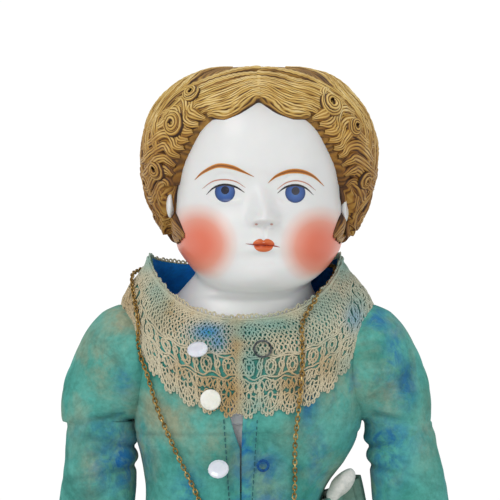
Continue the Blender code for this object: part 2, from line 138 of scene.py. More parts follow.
def sight(x, z):
    """The unit direction from the viewer through (x, z) on the plane y = 0."""
    return (Vector((float(x), 0.0, float(z))) - VIEWER).normalized()


def powered(value, power):
    return np.sign(value) * np.abs(value) ** power


def surface(rings, u, s, power=2.0, tilt=1.3):
    """Points of a ring surface at angles u and places s."""
    u, s = np.broadcast_arrays(u, s)
    front_z, side_z, back_z, width, front, back, centre = np.moveaxis(catmull(rings, s), -1, 0)
    across, along = np.sin(u), np.cos(u)
    ahead = along > 0
    end_z = np.where(ahead, front_z, back_z)
    depth = np.where(ahead, front, back)
    return np.stack(
        [
            centre + width * powered(across, 2 / power),
            -depth * powered(along, 2 / power),
            side_z + (end_z - side_z) * np.abs(along) ** tilt,
        ],
        -1,
    )


NOISE_SIZE = 32


def noise(points, size, seed):
    """Smooth noise from -1 to 1, with lumps of the given size in millimetres."""
    table = np.random.default_rng(seed).uniform(-1, 1, (NOISE_SIZE,) * 3)
    q = np.asarray(points, float) / size + 101.7
    i = np.floor(q).astype(int)
    f = q - i
    f = f * f * (3 - 2 * f)
    total = 0.0
    for corner in range(8):
        step = np.array([corner & 1, corner >> 1 & 1, corner >> 2 & 1])
        weight = np.prod(np.where(step, f, 1 - f), axis=-1)
        at = (i + step) % NOISE_SIZE
        total = total + weight * table[at[..., 0], at[..., 1], at[..., 2]]
    return total


def bump_at(x, z, x0, z0, wide, high):
    """A round bump, 1 at its middle."""
    return np.exp(-(((x - x0) / wide) ** 2) / 2 - ((z - z0) / high) ** 2 / 2)


def smoothstep(value, low, high):
    t = np.clip((value - low) / (high - low), 0, 1)
    return t * t * (3 - 2 * t)


def tubes(paths, radius, sides=5, closed=False):
    """Points and faces of round tubes along many paths, one mesh."""
    points, faces, start = [], [], 0
    angles = TAU * np.arange(sides) / sides
    for path in paths:
        path = np.asarray(path, float)
        n = len(path)
        if closed:
            tangent = np.roll(path, -1, 0) - np.roll(path, 1, 0)
        else:
            tangent = np.gradient(path, axis=0)
        tangent /= np.maximum(np.linalg.norm(tangent, axis=1, keepdims=True), 1e-9)
        guide = np.where(np.abs(tangent[:, 1:2]) < 0.9, [[0.0, 1.0, 0.0]], [[1.0, 0.0, 0.0]])
        side = np.cross(tangent, guide)
        side /= np.maximum(np.linalg.norm(side, axis=1, keepdims=True), 1e-9)
        up = np.cross(side, tangent)
        ring = side[:, None] * np.cos(angles)[:, None] + up[:, None] * np.sin(angles)[:, None]
        points.append((path[:, None] + ring * radius).reshape(-1, 3))
        faces.append(grid_faces(n, sides, True, start))
        if closed:
            last, first = start + (n - 1) * sides, start
            j = np.arange(sides)
            k = (j + 1) % sides
            faces.append(np.stack([last + j, last + k, first + k, first + j], -1))
        start += n * sides
    return np.concatenate(points), np.concatenate(faces)


# ---- materials -------------------------------------------------------------------------------


class Shader:
    """A Principled material with short calls for the nodes that feed it."""

    def __init__(self, name, roughness=0.6, metallic=0.0, sheen=0.0, coat=0.0, subsurface=0.0):
        self.material = bpy.data.materials.new(name)
        self.material.use_nodes = True
        self.tree = self.material.node_tree
        self.main = self.tree.nodes["Principled BSDF"]
        self.main.inputs["Roughness"].default_value = roughness
        self.main.inputs["Metallic"].default_value = metallic
        self.main.inputs["Sheen Weight"].default_value = sheen
        self.main.inputs["Coat Weight"].default_value = coat
        self.main.inputs["Subsurface Weight"].default_value = subsurface
        self.main.inputs["Subsurface Scale"].default_value = 0.004
        self.place = self.node("ShaderNodeTexCoord").outputs["Object"]

    def node(self, kind, **settings):
        made = self.tree.nodes.new(kind)
        for key, value in settings.items():
            setattr(made, key, value)
        return made

    def put(self, value, socket):
        if isinstance(value, bpy.types.NodeSocket):
            self.tree.links.new(value, socket)
        elif isinstance(value, (tuple, list)):
            socket.default_value = (*value[:3], 1.0)
        else:
            socket.default_value = value

    def noise(self, per_metre, detail=3.0, rough=0.55, warp=0.0, stretch=None):
        made = self.node("ShaderNodeTexNoise")
        place = self.place
        if stretch:
            moved = self.node("ShaderNodeMapping")
            moved.inputs["Scale"].default_value = stretch
            self.tree.links.new(place, moved.inputs["Vector"])
            place = moved.outputs["Vector"]
        self.tree.links.new(place, made.inputs["Vector"])
        made.inputs["Scale"].default_value = per_metre
        made.inputs["Detail"].default_value = detail
        made.inputs["Roughness"].default_value = rough
        made.inputs["Distortion"].default_value = warp
        return made.outputs["Fac"]

    def threads(self, pitch_mm, direction):
        made = self.node("ShaderNodeTexWave", wave_type="BANDS", bands_direction=direction)
        self.tree.links.new(self.place, made.inputs["Vector"])
        made.inputs["Scale"].default_value = 314.16 / pitch_mm
        made.inputs["Distortion"].default_value = 1.2
        made.inputs["Detail"].default_value = 1.0
        return made.outputs["Fac"]

    def attribute(self, name):
        return self.node("ShaderNodeAttribute", attribute_name=name).outputs["Fac"]

    def ramp(self, value, stops, ease="LINEAR"):
        made = self.node("ShaderNodeValToRGB")
        made.color_ramp.interpolation = ease
        elements = made.color_ramp.elements
        while len(elements) < len(stops):
            elements.new(0.5)
        for element, (place, colour) in zip(elements, stops):
            element.position = place
            element.color = (*colour, 1.0) if isinstance(colour, tuple) else (colour, colour, colour, 1.0)
        self.tree.links.new(value, made.inputs["Fac"])
        return made.outputs["Color"]

    def mix(self, share, first, second, blend="MIX"):
        made = self.node("ShaderNodeMix", data_type="RGBA", blend_type=blend)
        self.put(share, made.inputs["Factor"])
        self.put(first, made.inputs["A"])
        self.put(second, made.inputs["B"])
        return made.outputs["Result"]

    def maths(self, operation, first, second):
        made = self.node("ShaderNodeMath", operation=operation, use_clamp=operation != "SUBTRACT")
        self.put(first, made.inputs[0])
        self.put(second, made.inputs[1])
        return made.outputs["Value"]

    def colour(self, value):
        self.put(value, self.main.inputs["Base Color"])
        return self

    def roughness(self, value):
        self.put(value, self.main.inputs["Roughness"])
        return self

    def bump(self, height, strength, distance_mm):
        made = self.node("ShaderNodeBump")
        made.inputs["Strength"].default_value = strength
        made.inputs["Distance"].default_value = distance_mm * MM
        self.tree.links.new(height, made.inputs["Height"])
        before = self.main.inputs["Normal"]
        if before.is_linked:
            self.tree.links.new(before.links[0].from_socket, made.inputs["Normal"])
        self.tree.links.new(made.outputs["Normal"], before)
        return self


def bisque():
    """Matt white porcelain, with a fired-on blush where the attribute says."""
    shader = Shader("bisque", 0.38, subsurface=0.12, coat=0.06)
    mottle = shader.ramp(shader.noise(55, 4), [(0.3, (0.745, 0.745, 0.73)), (0.7, (0.79, 0.79, 0.775))])
    rosy = shader.ramp(shader.attribute("blush"), [
        (0.0, (0.77, 0.76, 0.745)), (0.25, (0.78, 0.60, 0.54)), (0.6, (0.77, 0.31, 0.22)),
        (1.0, (0.76, 0.17, 0.09)),
    ])
    strength = shader.ramp(shader.attribute("blush"), [(0.0, 0.0), (0.12, 1.0)])
    shader.colour(shader.mix(strength, mottle, rosy))
    shader.bump(shader.noise(900, 2), 0.05, 0.1)
    return shader.material


def hair_glaze():
    """Painted hair: brown wash with painted shade in the grooves, worn to cream with a painted highlight on
    the crests, and painted shade lower down the head.
    """
    shader = Shader("hair_glaze", 0.42)
    # The crest ramp runs from near-black in the grooves to cream on the crests: the brown wash, plus painted
    # shade in the grooves and a painted highlight on the crests.
    paint_and_groove_shade = shader.ramp(shader.attribute("crest"), [
        (0.0, (0.022, 0.009, 0.002)), (0.24, (0.085, 0.036, 0.007)), (0.44, (0.36, 0.185, 0.024)),
        (0.68, (0.68, 0.47, 0.125)), (0.95, (0.90, 0.76, 0.43)),
    ])
    streaks = shader.ramp(shader.noise(130, 4), [(0.3, (0.80, 0.68, 0.48)), (0.6, (1.0, 0.99, 0.96))])
    toned = shader.mix(0.45, paint_and_groove_shade, streaks, "MULTIPLY")
    # Painted shade: the hair is multiplied darker and browner lower down the head, lightest at the top.
    shade = shader.ramp(
        shader.attribute("height_shade"),
        [(0.0, (1.0, 1.0, 1.0)), (0.45, (0.82, 0.68, 0.42)), (1.0, (0.58, 0.42, 0.20))]
    )
    shader.colour(shader.mix(1.0, toned, shade, "MULTIPLY"))
    shader.roughness(shader.ramp(shader.attribute("crest"), [(0.0, 0.75), (1.0, 0.38)]))
    return shader.material


def paint(name, stops, roughness=0.3, wobble=0.25):
    """Fired-on colour that follows the attribute depth, a little uneven."""
    shader = Shader(name, roughness)
    uneven = shader.maths("MULTIPLY", shader.noise(700, 3), wobble)
    depth = shader.maths("ADD", shader.maths("SUBTRACT", shader.attribute("depth"), wobble / 2), uneven)
    shader.colour(shader.ramp(depth, stops))
    return shader.material


BISQUE = bisque()
HAIR_GLAZE = hair_glaze()

# ---- head ------------------------------------------------------------------------------------

FACE_X = 6.5  # the middle of the eyes; the head is turned a little to its own left
NOSE_X = 8.2
EYES = ((-8.6, 544.3), (21.6, 544.0))
CHEEKS = ((-20.6, 521.6), (32.4, 520.6))
MOUTH_Z = 521.3

SKIN_RINGS = [
    (446, 462, 448, 43.5, 31, 29.5, 0),
    (455, 470, 459, 43.8, 31.2, 29.8, 0),
    (466, 479, 472, 43, 30, 29, 0),
    (476, 487, 484, 40.5, 27.8, 27.2, 0),
    (483, 493, 493, 36.5, 25.2, 25, 0),
    (489, 498, 499.5, 32, 23.6, 23.4, 0.5),
    (494, 502, 504, 28.5, 22.3, 22, 1),
    (498, 505.5, 508, 26.4, 22, 21.2, 2),
    (500.4, 508.5, 511, 25.8, 26, 21.5, 4),
    (502, 510.5, 513.5, 27, 34, 25, 5.5),
    (505.5, 513, 516.5, 29.6, 38.8, 30, 6),
    (511, 516.5, 519.5, 32.6, 41.8, 34, 6),
    (518, 520.5, 523, 35, 43.3, 38, 6),
    (526, 527, 528, 36.2, 43.6, 40, 6),
    (536, 536, 536, 36.3, 43.0, 42, 6),
    (546, 546, 546, 36.4, 42.6, 43, 6),
    (557, 557, 557, 36.6, 43, 43, 6),
    (568, 568, 568, 35.6, 42.2, 42, 6),
    (578, 578, 578, 32.5, 39, 39, 6),
    (586, 586, 586, 26.5, 32.5, 33, 6),
    (591.5, 591.5, 591.5, 17, 21, 22, 6),
    (594.5, 594.5, 594.5, 5, 6, 6, 6),
]
SKIN_POWER = 2.25


def front_packed_angles(count, packing):
    """Angles round a ring, closer together at the front."""
    t = TAU * np.arange(count) / count
    return t - packing * np.sin(t)


def lid_line(x, eye, lift):
    """Height of the upper lid over an eye, arched between the corners."""
    across = np.clip((x - eye[0]) / 8.4, -1, 1)
    return eye[1] - 0.6 + lift * (1 - np.abs(across) ** 2.1)


def face_relief(x, z):
    """How far the modelled features stand out from the smooth head, in millimetres."""
    out = np.zeros_like(x)
    for ex, ez in EYES:
        out -= 2.3 * bump_at(x, z, ex, ez + 0.5, 9.5, 5.2)
        out += 1.9 * bump_at(x, z, ex, ez - 0.3, 6.2, 3.6)
        inside = smoothstep(8.6 - np.abs(x - ex), 0, 2.5)
        lid = lid_line(x, (ex, ez), 3.9)
        above = 1 - smoothstep(z, lid + 1.2, lid + 4.5)
        out += 0.34 * inside * smoothstep(z, lid - 0.25, lid + 0.15) * above
        low = ez - 3.6 + 0.9 * ((x - ex) / 8.4) ** 2
        out += 0.22 * inside * (1 - smoothstep(z, low - 0.3, low + 0.2)) * smoothstep(z, low - 3, low - 0.8)
        crease = lid_line(x, (ex, ez), 7.2) + 1.0
        out -= 0.30 * inside * np.exp(-(((z - crease) / 0.45) ** 2))
        out += 0.9 * bump_at(x, z, ex, ez + 11, 10, 3.6)
    bridge = smoothstep(z, 533, 552)
    ridge = (5.0 * (1 - bridge) + 0.6) * smoothstep(z, 528.6, 532.2) * (1 - smoothstep(z, 548, 560))
    spine = NOSE_X - (NOSE_X - FACE_X) * bridge
    out += ridge * np.exp(-(((x - spine) / (3.5 - 0.6 * bridge)) ** 2) / 2)
    out += 2.5 * bump_at(x, z, NOSE_X, 532.4, 3.0, 2.3)
    for side in (-1, 1):
        out += 1.9 * bump_at(x, z, NOSE_X + side * 4.3, 531.9, 1.7, 1.9)
        out -= 1.3 * bump_at(x, z, NOSE_X + side * 3.1, 529.5, 1.2, 0.7)
        out += 0.22 * bump_at(x, z, NOSE_X + side * 1.5, 526.6, 0.7, 1.8)
    out -= 0.35 * bump_at(x, z, NOSE_X, 526.8, 0.9, 2.0)
    mouth_x = NOSE_X - 0.4
    out += 1.3 * bump_at(x, z, mouth_x, MOUTH_Z + 0.6, 7.5, 4.6)
    bow = 0.55 * np.exp(-(((x - mouth_x) / 1.1) ** 2))
    out += 0.95 * np.exp(-(((x - mouth_x) / 4.0) ** 2)) * np.exp(-(((z - MOUTH_Z - 1.5 + bow) / 0.95) ** 2))
    out += 1.15 * bump_at(x, z, mouth_x, MOUTH_Z - 1.75, 3.0, 1.05)
    seam = MOUTH_Z + 0.35 * np.cos((x - mouth_x) * 1.1) - 0.02 * (x - mouth_x) ** 2 * 0.4
    out -= 0.75 * np.exp(-(((x - mouth_x) / 5.6) ** 4)) * np.exp(-(((z - seam) / 0.42) ** 2))
    out -= 1.1 * bump_at(x, z, mouth_x, 515.6, 6.5, 1.9)
    out += 2.6 * bump_at(x, z, 7.7, 508.0, 7.5, 4.4)
    for side, (cx, cz) in zip((-1, 1), CHEEKS):
        out += 2.3 * bump_at(x, z, cx + side * -3.0, cz - 0.5, 9.5, 8.5)
    return out


def shoulder_head():
    """Face, neck and shoulder plate; the hair sits over the skull."""
    rows, columns = 300, 400
    last = len(SKIN_RINGS) - 1
    s = np.concatenate([np.linspace(0, 7, 50, endpoint=False), np.linspace(7, last, rows - 50)])
    u = front_packed_angles(columns, 0.62)
    grid = surface(SKIN_RINGS, u[None, :], s[:, None], SKIN_POWER)
    facing = smoothstep(-grid[..., 1], 6, 24) * smoothstep(s[:, None], 8.2, 9.6)
    seen_x, seen_z = seen(grid)
    grid[..., 1] -= facing * face_relief(seen_x, seen_z)
    roll = (
        0.9 * np.exp(-(((grid[..., 2] - 500.2) / 1.6) ** 2)) * (s[:, None] < 9)
        * smoothstep(-grid[..., 1], 5, 20)
    )
    grid[..., 1] -= roll
    blush = np.zeros(grid.shape[:2])
    for cx, cz in CHEEKS:
        away = np.hypot(seen_x - cx, seen_z - cz)
        blush = np.maximum(blush, 1 - smoothstep(away, 3.0, 20.5))
    blush *= (grid[..., 1] < 0) * smoothstep(s[:, None], 9, 10.5)
    points = grid.reshape(-1, 3)
    faces = grid_faces(rows, columns, True)
    tip = len(points)
    j = np.arange(columns)
    cap = np.stack(
        [(rows - 1) * columns + j, (rows - 1) * columns + (j + 1) % columns, np.full(columns, tip)], -1
    )
    points = np.vstack([points, [[FACE_X, 0, 595.0]]])
    inner = surface(SKIN_RINGS, u[None, ::4], np.linspace(0, 6.5, 14)[:, None], SKIN_POWER)
    inner -= 3.5 * normals(inner, True)
    inner[0, :, 2] = grid[0, ::4, 2]
    start = len(points)
    points = np.vstack([points, inner.reshape(-1, 3)])
    width = inner.shape[1]
    back_faces = grid_faces(len(inner), width, True, start, flip=True)
    rim = np.arange(width)
    quads = []
    for k in range(4):
        a = rim * 4 + k
        b = (rim * 4 + k + 1) % columns
        quads.append(
            np.stack([b, a, start + rim, np.where(k == 3, start + (rim + 1) % width, start + rim)], -1)
        )
    rim_faces = [tuple(dict.fromkeys(q)) for q in np.concatenate(quads).tolist()]
    every = faces.tolist() + cap.tolist() + back_faces.tolist() + rim_faces
    blush = np.concatenate([blush.reshape(-1), np.zeros(len(points) - rows * columns)])
    head = make_mesh("bisque_head_and_plate", points, every, BISQUE, {"blush": blush})
    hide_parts("shoulder_head")
    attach(head, TORSO)
    skin = BVHTree.FromPolygons(points[: tip + 1].tolist(), faces.tolist() + cap.tolist())
    return head, skin


head, SKIN = shoulder_head()


def on_skin(x, z, lift):
    """The point of the face at (x, z), lifted off it."""
    hit, normal, _, _ = SKIN.ray_cast(VIEWER, sight(x, z))
    if hit is None:
        return np.array([x, -30.0, z])
    normal = normal if normal.y < 0 else -normal
    return np.array(hit) + np.array(normal) * lift


def decal(name, xz, depth, material, lift=0.07):
    """Paint on the face: a grid of (x, z) places laid onto the skin, with the attribute depth."""
    xz = np.asarray(xz, float)
    placed = np.array([[on_skin(x, z, lift) for x, z in row] for row in xz])
    made = make_mesh(name, placed, grid_faces(*xz.shape[:2]), material, {"depth": depth})
    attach(made, TORSO)
    return made


def stroke(line, half_widths, columns=60, rows=7):
    """A brush stroke along a smooth line of (x, z); depth is 1 along its middle and 0 at its edge."""
    t = np.linspace(0, len(line) - 1, columns)
    middle = catmull(line, t)
    width = catmull(np.asarray(half_widths, float)[:, None], t)[:, 0].clip(0.02)
    tangent = np.gradient(middle, axis=0)
    tangent /= np.linalg.norm(tangent, axis=1, keepdims=True)
    normal = np.stack([-tangent[:, 1], tangent[:, 0]], -1)
    across = np.linspace(-1, 1, rows)
    grid = middle[None] + across[:, None, None] * (normal * width[:, None])[None]
    depth = np.broadcast_to((1 - np.abs(across))[:, None], (rows, columns))
    return grid, depth


BROWN_PAINT = paint(
    "brow_paint", [(0.0, (0.78, 0.42, 0.12)), (0.3, (0.58, 0.20, 0.02)), (0.9, (0.22, 0.06, 0.008))]
)
BLACK_PAINT = paint("lid_paint", [(0.0, (0.05, 0.03, 0.03)), (0.4, (0.012, 0.008, 0.01))])
CREASE_PAINT = paint("crease_paint", [(0.0, (0.66, 0.42, 0.35)), (0.9, (0.42, 0.14, 0.08))])
IRIS_PAINT = paint("iris_paint", [
    (0.0, (0.01, 0.03, 0.12)), (0.14, (0.015, 0.06, 0.22)), (0.5, (0.022, 0.095, 0.34)),
    (0.78, (0.05, 0.14, 0.36)), (0.9, (0.02, 0.08, 0.28)),
], wobble=0.18)
PUPIL_PAINT = paint("pupil_paint", [(0.0, (0.004, 0.006, 0.03)), (1.0, (0.002, 0.002, 0.008))], 0.12)
LIP_PAINT = paint(
    "lip_paint", [(0.0, (0.62, 0.17, 0.05)), (0.5, (0.66, 0.13, 0.03)), (1.0, (0.52, 0.07, 0.02))]
)
LIP_LINE_PAINT = paint("lip_line_paint", [(0.0, (0.40, 0.06, 0.03)), (1.0, (0.20, 0.02, 0.012))])


def brows_and_lids():
    strokes = {
        "eyebrow_right": (
            [(-21.6, 549.3), (-18, 552.6), (-12, 555.4), (-6, 554.9), (-1, 553.0), (4.0, 550.6)],
            [0.08, 0.6, 0.92, 0.95, 0.55, 0.08], BROWN_PAINT,
        ),
        "eyebrow_left": (
            [(9.8, 547.9), (13.5, 551.0), (19, 553.0), (24.5, 552.9), (29.5, 550.8), (34.0, 546.6)],
            [0.08, 0.6, 0.95, 0.95, 0.6, 0.08], BROWN_PAINT,
        ),
        "lid_crease_right": (
            [(-18.3, 545.6), (-14, 548.6), (-9, 549.5), (-4, 548.6), (0.2, 546.0)],
            [0.08, 0.26, 0.3, 0.26, 0.08], CREASE_PAINT,
        ),
        "lid_crease_left": (
            [(13.8, 545.2), (17.5, 548.0), (22, 549.0), (26.5, 547.8), (30.4, 544.8)],
            [0.08, 0.26, 0.3, 0.26, 0.08], CREASE_PAINT,
        ),
        "lid_line_right": (
            [(-16.6, 542.9), (-13.5, 545.9), (-9, 547.3), (-4, 546.3), (-0.2, 543.9)],
            [0.06, 0.38, 0.5, 0.42, 0.08], BLACK_PAINT,
        ),
        "lid_line_left": (
            [(13.9, 543.6), (17.4, 546.2), (21.8, 547.1), (26, 545.9), (29.4, 542.8)],
            [0.08, 0.42, 0.5, 0.38, 0.06], BLACK_PAINT,
        ),
    }
    for name, (line, widths, material) in strokes.items():
        grid, depth = stroke(line, widths)
        decal(name, grid, depth, material, 0.1)


def disc(centre, radius, top=None, rows=9, columns=40):
    """A round spot as a polar grid, its top cut by a height function; depth is 1 at its middle."""
    share = np.linspace(0.02, 1, rows)[:, None]
    angle = TAU * np.linspace(0, 1, columns)[None, :]
    x = centre[0] + radius * share * np.cos(angle)
    z = centre[1] + radius * share * np.sin(angle)
    if top is not None:
        z = np.minimum(z, top(x))
    depth = np.broadcast_to(1 - share, x.shape)
    return np.stack([x, z], -1), depth


def eyes():
    for side, (ex, ez) in (("right", EYES[0]), ("left", EYES[1])):
        lid = [(x, z) for x, z in ((ex - 8, ez - 1.3), (ex - 4.6, ez + 1.7), (ex - 0.2, ez + 2.9),
                                   (ex + 4.4, ez + 1.8), (ex + 8, ez - 0.8))]

        def top(x, lid=lid):
            return np.interp(x, [p[0] for p in lid], [p[1] for p in lid])

        grid, depth = disc((ex, ez - 0.2), 4.35, top)
        decal(f"iris_{side}", grid, depth, IRIS_PAINT, 0.08)
        grid, depth = disc((ex + 0.1, ez + 0.6), 1.75, top, 5, 24)
        decal(f"pupil_{side}", grid, depth, PUPIL_PAINT, 0.13)


def mouth():
    """Full lips with a cupid's bow, and the dark line between them out to the corners."""
    columns = 60
    t = np.linspace(-1, 1, columns)
    x = NOSE_X - 0.2 + 4.7 * t
    arch = np.sqrt(np.clip(1 - np.abs(t) ** 2.4, 0, 1))
    bow = 0.75 * np.exp(-((t / 0.17) ** 2))
    upper = MOUTH_Z + (2.75 * arch - bow)
    seam = MOUTH_Z + 0.3 * np.cos(t * 5)
    lower = MOUTH_Z - 2.9 * np.sqrt(np.clip(1 - np.abs(t * 1.12) ** 2.2, 0, 1))
    for name, edge in (("upper_lip", upper), ("lower_lip", lower)):
        share = np.linspace(0, 1, 8)[:, None]
        z = seam[None] * (1 - share) + edge[None] * share
        grid = np.stack([np.broadcast_to(x, z.shape), z], -1)
        depth = np.broadcast_to(1 - share * 0.8, z.shape)
        if name == "lower_lip":
            grid, depth = grid[::-1], depth[::-1]
        decal(name, grid, depth, LIP_PAINT, 0.08)
    line = [
        (0.3, 521.9), (3.4, 521.6), (6.2, 521.4), (8.1, 521.0), (10.0, 521.2), (12.6, 520.9),
        (15.0, 520.4)
    ]
    grid, depth = stroke(line, [0.06, 0.26, 0.3, 0.34, 0.3, 0.26, 0.06])
    decal("lip_line", grid, depth, LIP_LINE_PAINT, 0.14)
    # Painted shade in the nostrils: a small dark spot laid on each.
    for side, x in (("right", 4.9), ("left", 11.4)):
        grid, depth = disc((x, 530.3), 0.75, None, 4, 16)
        grid[..., 1] = 530.3 + (grid[..., 1] - 530.3) * 0.6
        decal(f"nostril_shade_{side}", grid, depth, CREASE_PAINT, 0.07)


brows_and_lids()
eyes()
mouth()

# ---- hair ------------------------------------------------------------------------------------

HAIR_RINGS = [
    (524, 524, 521, 33, 8, 34, 6),
    (523, 523, 519, 37.5, 14, 41, 6),
    (530, 530, 526, 41.5, 19, 45.5, 6),
    (540, 540, 537, 45.5, 26, 48.5, 6),
    (551, 551, 551, 48.8, 34, 49.5, 6),
    (562, 562, 562, 49.6, 39, 50.2, 6),
    (573, 573, 573, 47.4, 41, 48, 6),
    (582, 582, 582, 42.6, 39.3, 44, 6),
    (590.6, 590.6, 590.6, 33.5, 33, 35.5, 6),
    (595.8, 595.8, 595.8, 22, 22.5, 24, 6),
    (597.2, 597.2, 597.2, 8, 8.5, 9, 6),
]
HEAD_CENTRE = np.array([6.0, 0.0, 556.0])
HAIR_MIDDLE = (6.0, 552.0)  # seen from the front; angles run from straight up, + to the doll's left
WAVE_ANGLE = 48.0  # degrees from one crest of the combed waves to the next
TEMPLE_ANGLE = 98.0
CHEEK_EDGES = (-33.5, 44.5)  # x where the hair frames the cheeks, and the height it reaches down to
CHEEK_LOW = 520.0


def combed(degrees):
    """The rise and fall of the waves, strongest by the part."""
    away = np.abs(degrees)
    return np.cos(TAU * away / WAVE_ANGLE) * np.exp(-away / 60)


def hairline(degrees):
    """Distance of the scalloped hairline from the middle: nearest over the brow, widening to the temples."""
    return 30 + 6 * (np.abs(degrees) / 95) ** 2 + 1.9 * combed(degrees)


def hair_outline(degrees):
    """Distance of the hair's outer edge: it fills out to the temples, then tucks in to the nape."""
    full = 45 + 6.5 * np.sin(np.radians(np.clip(np.abs(degrees), 0, 90))) ** 2
    return full - 6.5 * smoothstep(np.abs(degrees), 86, 132)


def hair_place(degrees, share):
    """A place (x, z) in the band of hair; share is 0 at the hairline and 1 at the outer edge."""
    away = hairline(degrees) + (hair_outline(degrees) - hairline(degrees)) * share
    turn = math.radians(degrees)
    return HAIR_MIDDLE[0] + away * math.sin(turn), HAIR_MIDDLE[1] + away * math.cos(turn)


def face_edge():
    """The closed line round the bare face."""
    arch = [hair_place(float(angle), 0.0) for angle in np.linspace(-TEMPLE_ANGLE, TEMPLE_ANGLE, 50)]
    right, left = CHEEK_EDGES
    return np.array([(right, CHEEK_LOW), (right, 546.0)] + arch + [(left, 543.0), (left, CHEEK_LOW)])


def within_face(x, z):
    """How far inside the hairline a seen place is, in millimetres; negative over the hair."""
    line = face_edge()
    away = np.full(x.shape, 1e9)
    inside = np.zeros(x.shape, bool)
    for (x0, z0), (x1, z1) in zip(line, np.roll(line, -1, 0)):
        edge = np.array([x1 - x0, z1 - z0])
        t = np.clip(((x - x0) * edge[0] + (z - z0) * edge[1]) / (edge @ edge), 0, 1)
        away = np.minimum(away, np.hypot(x - x0 - t * edge[0], z - z0 - t * edge[1]))
        crosses = (z0 > z) != (z1 > z)
        reach = x0 + (z - z0) * edge[0] / (edge[1] if edge[1] else 1e-9)
        inside ^= crosses & (x < reach)
    return np.where(inside, away, -away)


def hair_base():
    """The smooth mass of hair under the locks, combed into waves from the crown."""
    rows, columns = 260, 420
    s = np.linspace(0, len(HAIR_RINGS) - 1, rows)
    u = TAU * np.arange(columns) / columns
    grid = surface(HAIR_RINGS, u[None], s[:, None])
    outward = grid - HEAD_CENTRE
    outward /= np.linalg.norm(outward, axis=-1, keepdims=True)
    wave = 0.12 * np.sin(grid[..., 2] / 2.4 + 1.5 * np.sin(3 * u)[None])
    lines = 0.5 + 0.5 * np.cos((u[None] + wave) * 62)
    fade = smoothstep(s[:, None], 1, 2)
    grid = grid + outward * (0.3 * lines * fade)[..., None]
    bare = smoothstep(within_face(*seen(grid)), -0.6, 1.6) * (grid[..., 1] < 4)
    grid = grid - outward * (13 * bare)[..., None]
    # Painted shade: the grooves between the combed lines, and the mass under the locks, sit low on the crest
    # ramp.
    crest = 0.27 + 0.3 * lines * (0.6 + 0.4 * noise(grid, 6, 3))
    points = np.vstack([grid.reshape(-1, 3), [[6.0, 0.0, 597.4]]])
    faces = grid_faces(rows, columns, True)
    j = np.arange(columns)
    top = (rows - 1) * columns
    cap = np.stack([top + j, top + (j + 1) % columns, np.full(columns, len(points) - 1)], -1)
    floor_ring = j[::-1]
    # Painted shade: the hair darkens towards the bottom.
    height_shade = 1 - smoothstep(points[:, 2], 528, 580)
    every = faces.tolist() + cap.tolist() + [floor_ring.tolist()]
    attributes = {"crest": np.append(crest.reshape(-1), 0.5), "height_shade": height_shade}
    made = make_mesh("moulded_hair", points, every, HAIR_GLAZE, attributes)
    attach(made, TORSO)
    return BVHTree.FromPolygons(points.tolist(), faces.tolist() + cap.tolist())


HAIR = hair_base()
HEAD_MIDDLE = Vector(HEAD_CENTRE.tolist())


def scalp(direction):
    """Distance from the head's centre to the outermost of hair and skin, smoothly joined."""
    ray = Vector(direction)
    hair = HAIR.ray_cast(HEAD_MIDDLE, ray)[3] or 0.0
    skin = SKIN.ray_cast(HEAD_MIDDLE, ray)[3] or 0.0
    return 0.5 * (hair + skin + math.sqrt((hair - skin) ** 2 + 1.0))


def unit(v):
    return v / np.maximum(np.linalg.norm(v, axis=-1, keepdims=True), 1e-9)


def on_head(x, z):
    """The unit direction from the head's centre to the place seen at (x, z) from the front."""
    nearest = None
    for tree in (HAIR, SKIN):
        hit = tree.ray_cast(VIEWER, sight(x, z))[0]
        if hit is not None and hit.y < 10 and (nearest is None or hit.y < nearest.y):
            nearest = hit
    place = np.array([x, 0.0, z]) if nearest is None else np.array(nearest)
    return unit(place - HEAD_CENTRE)


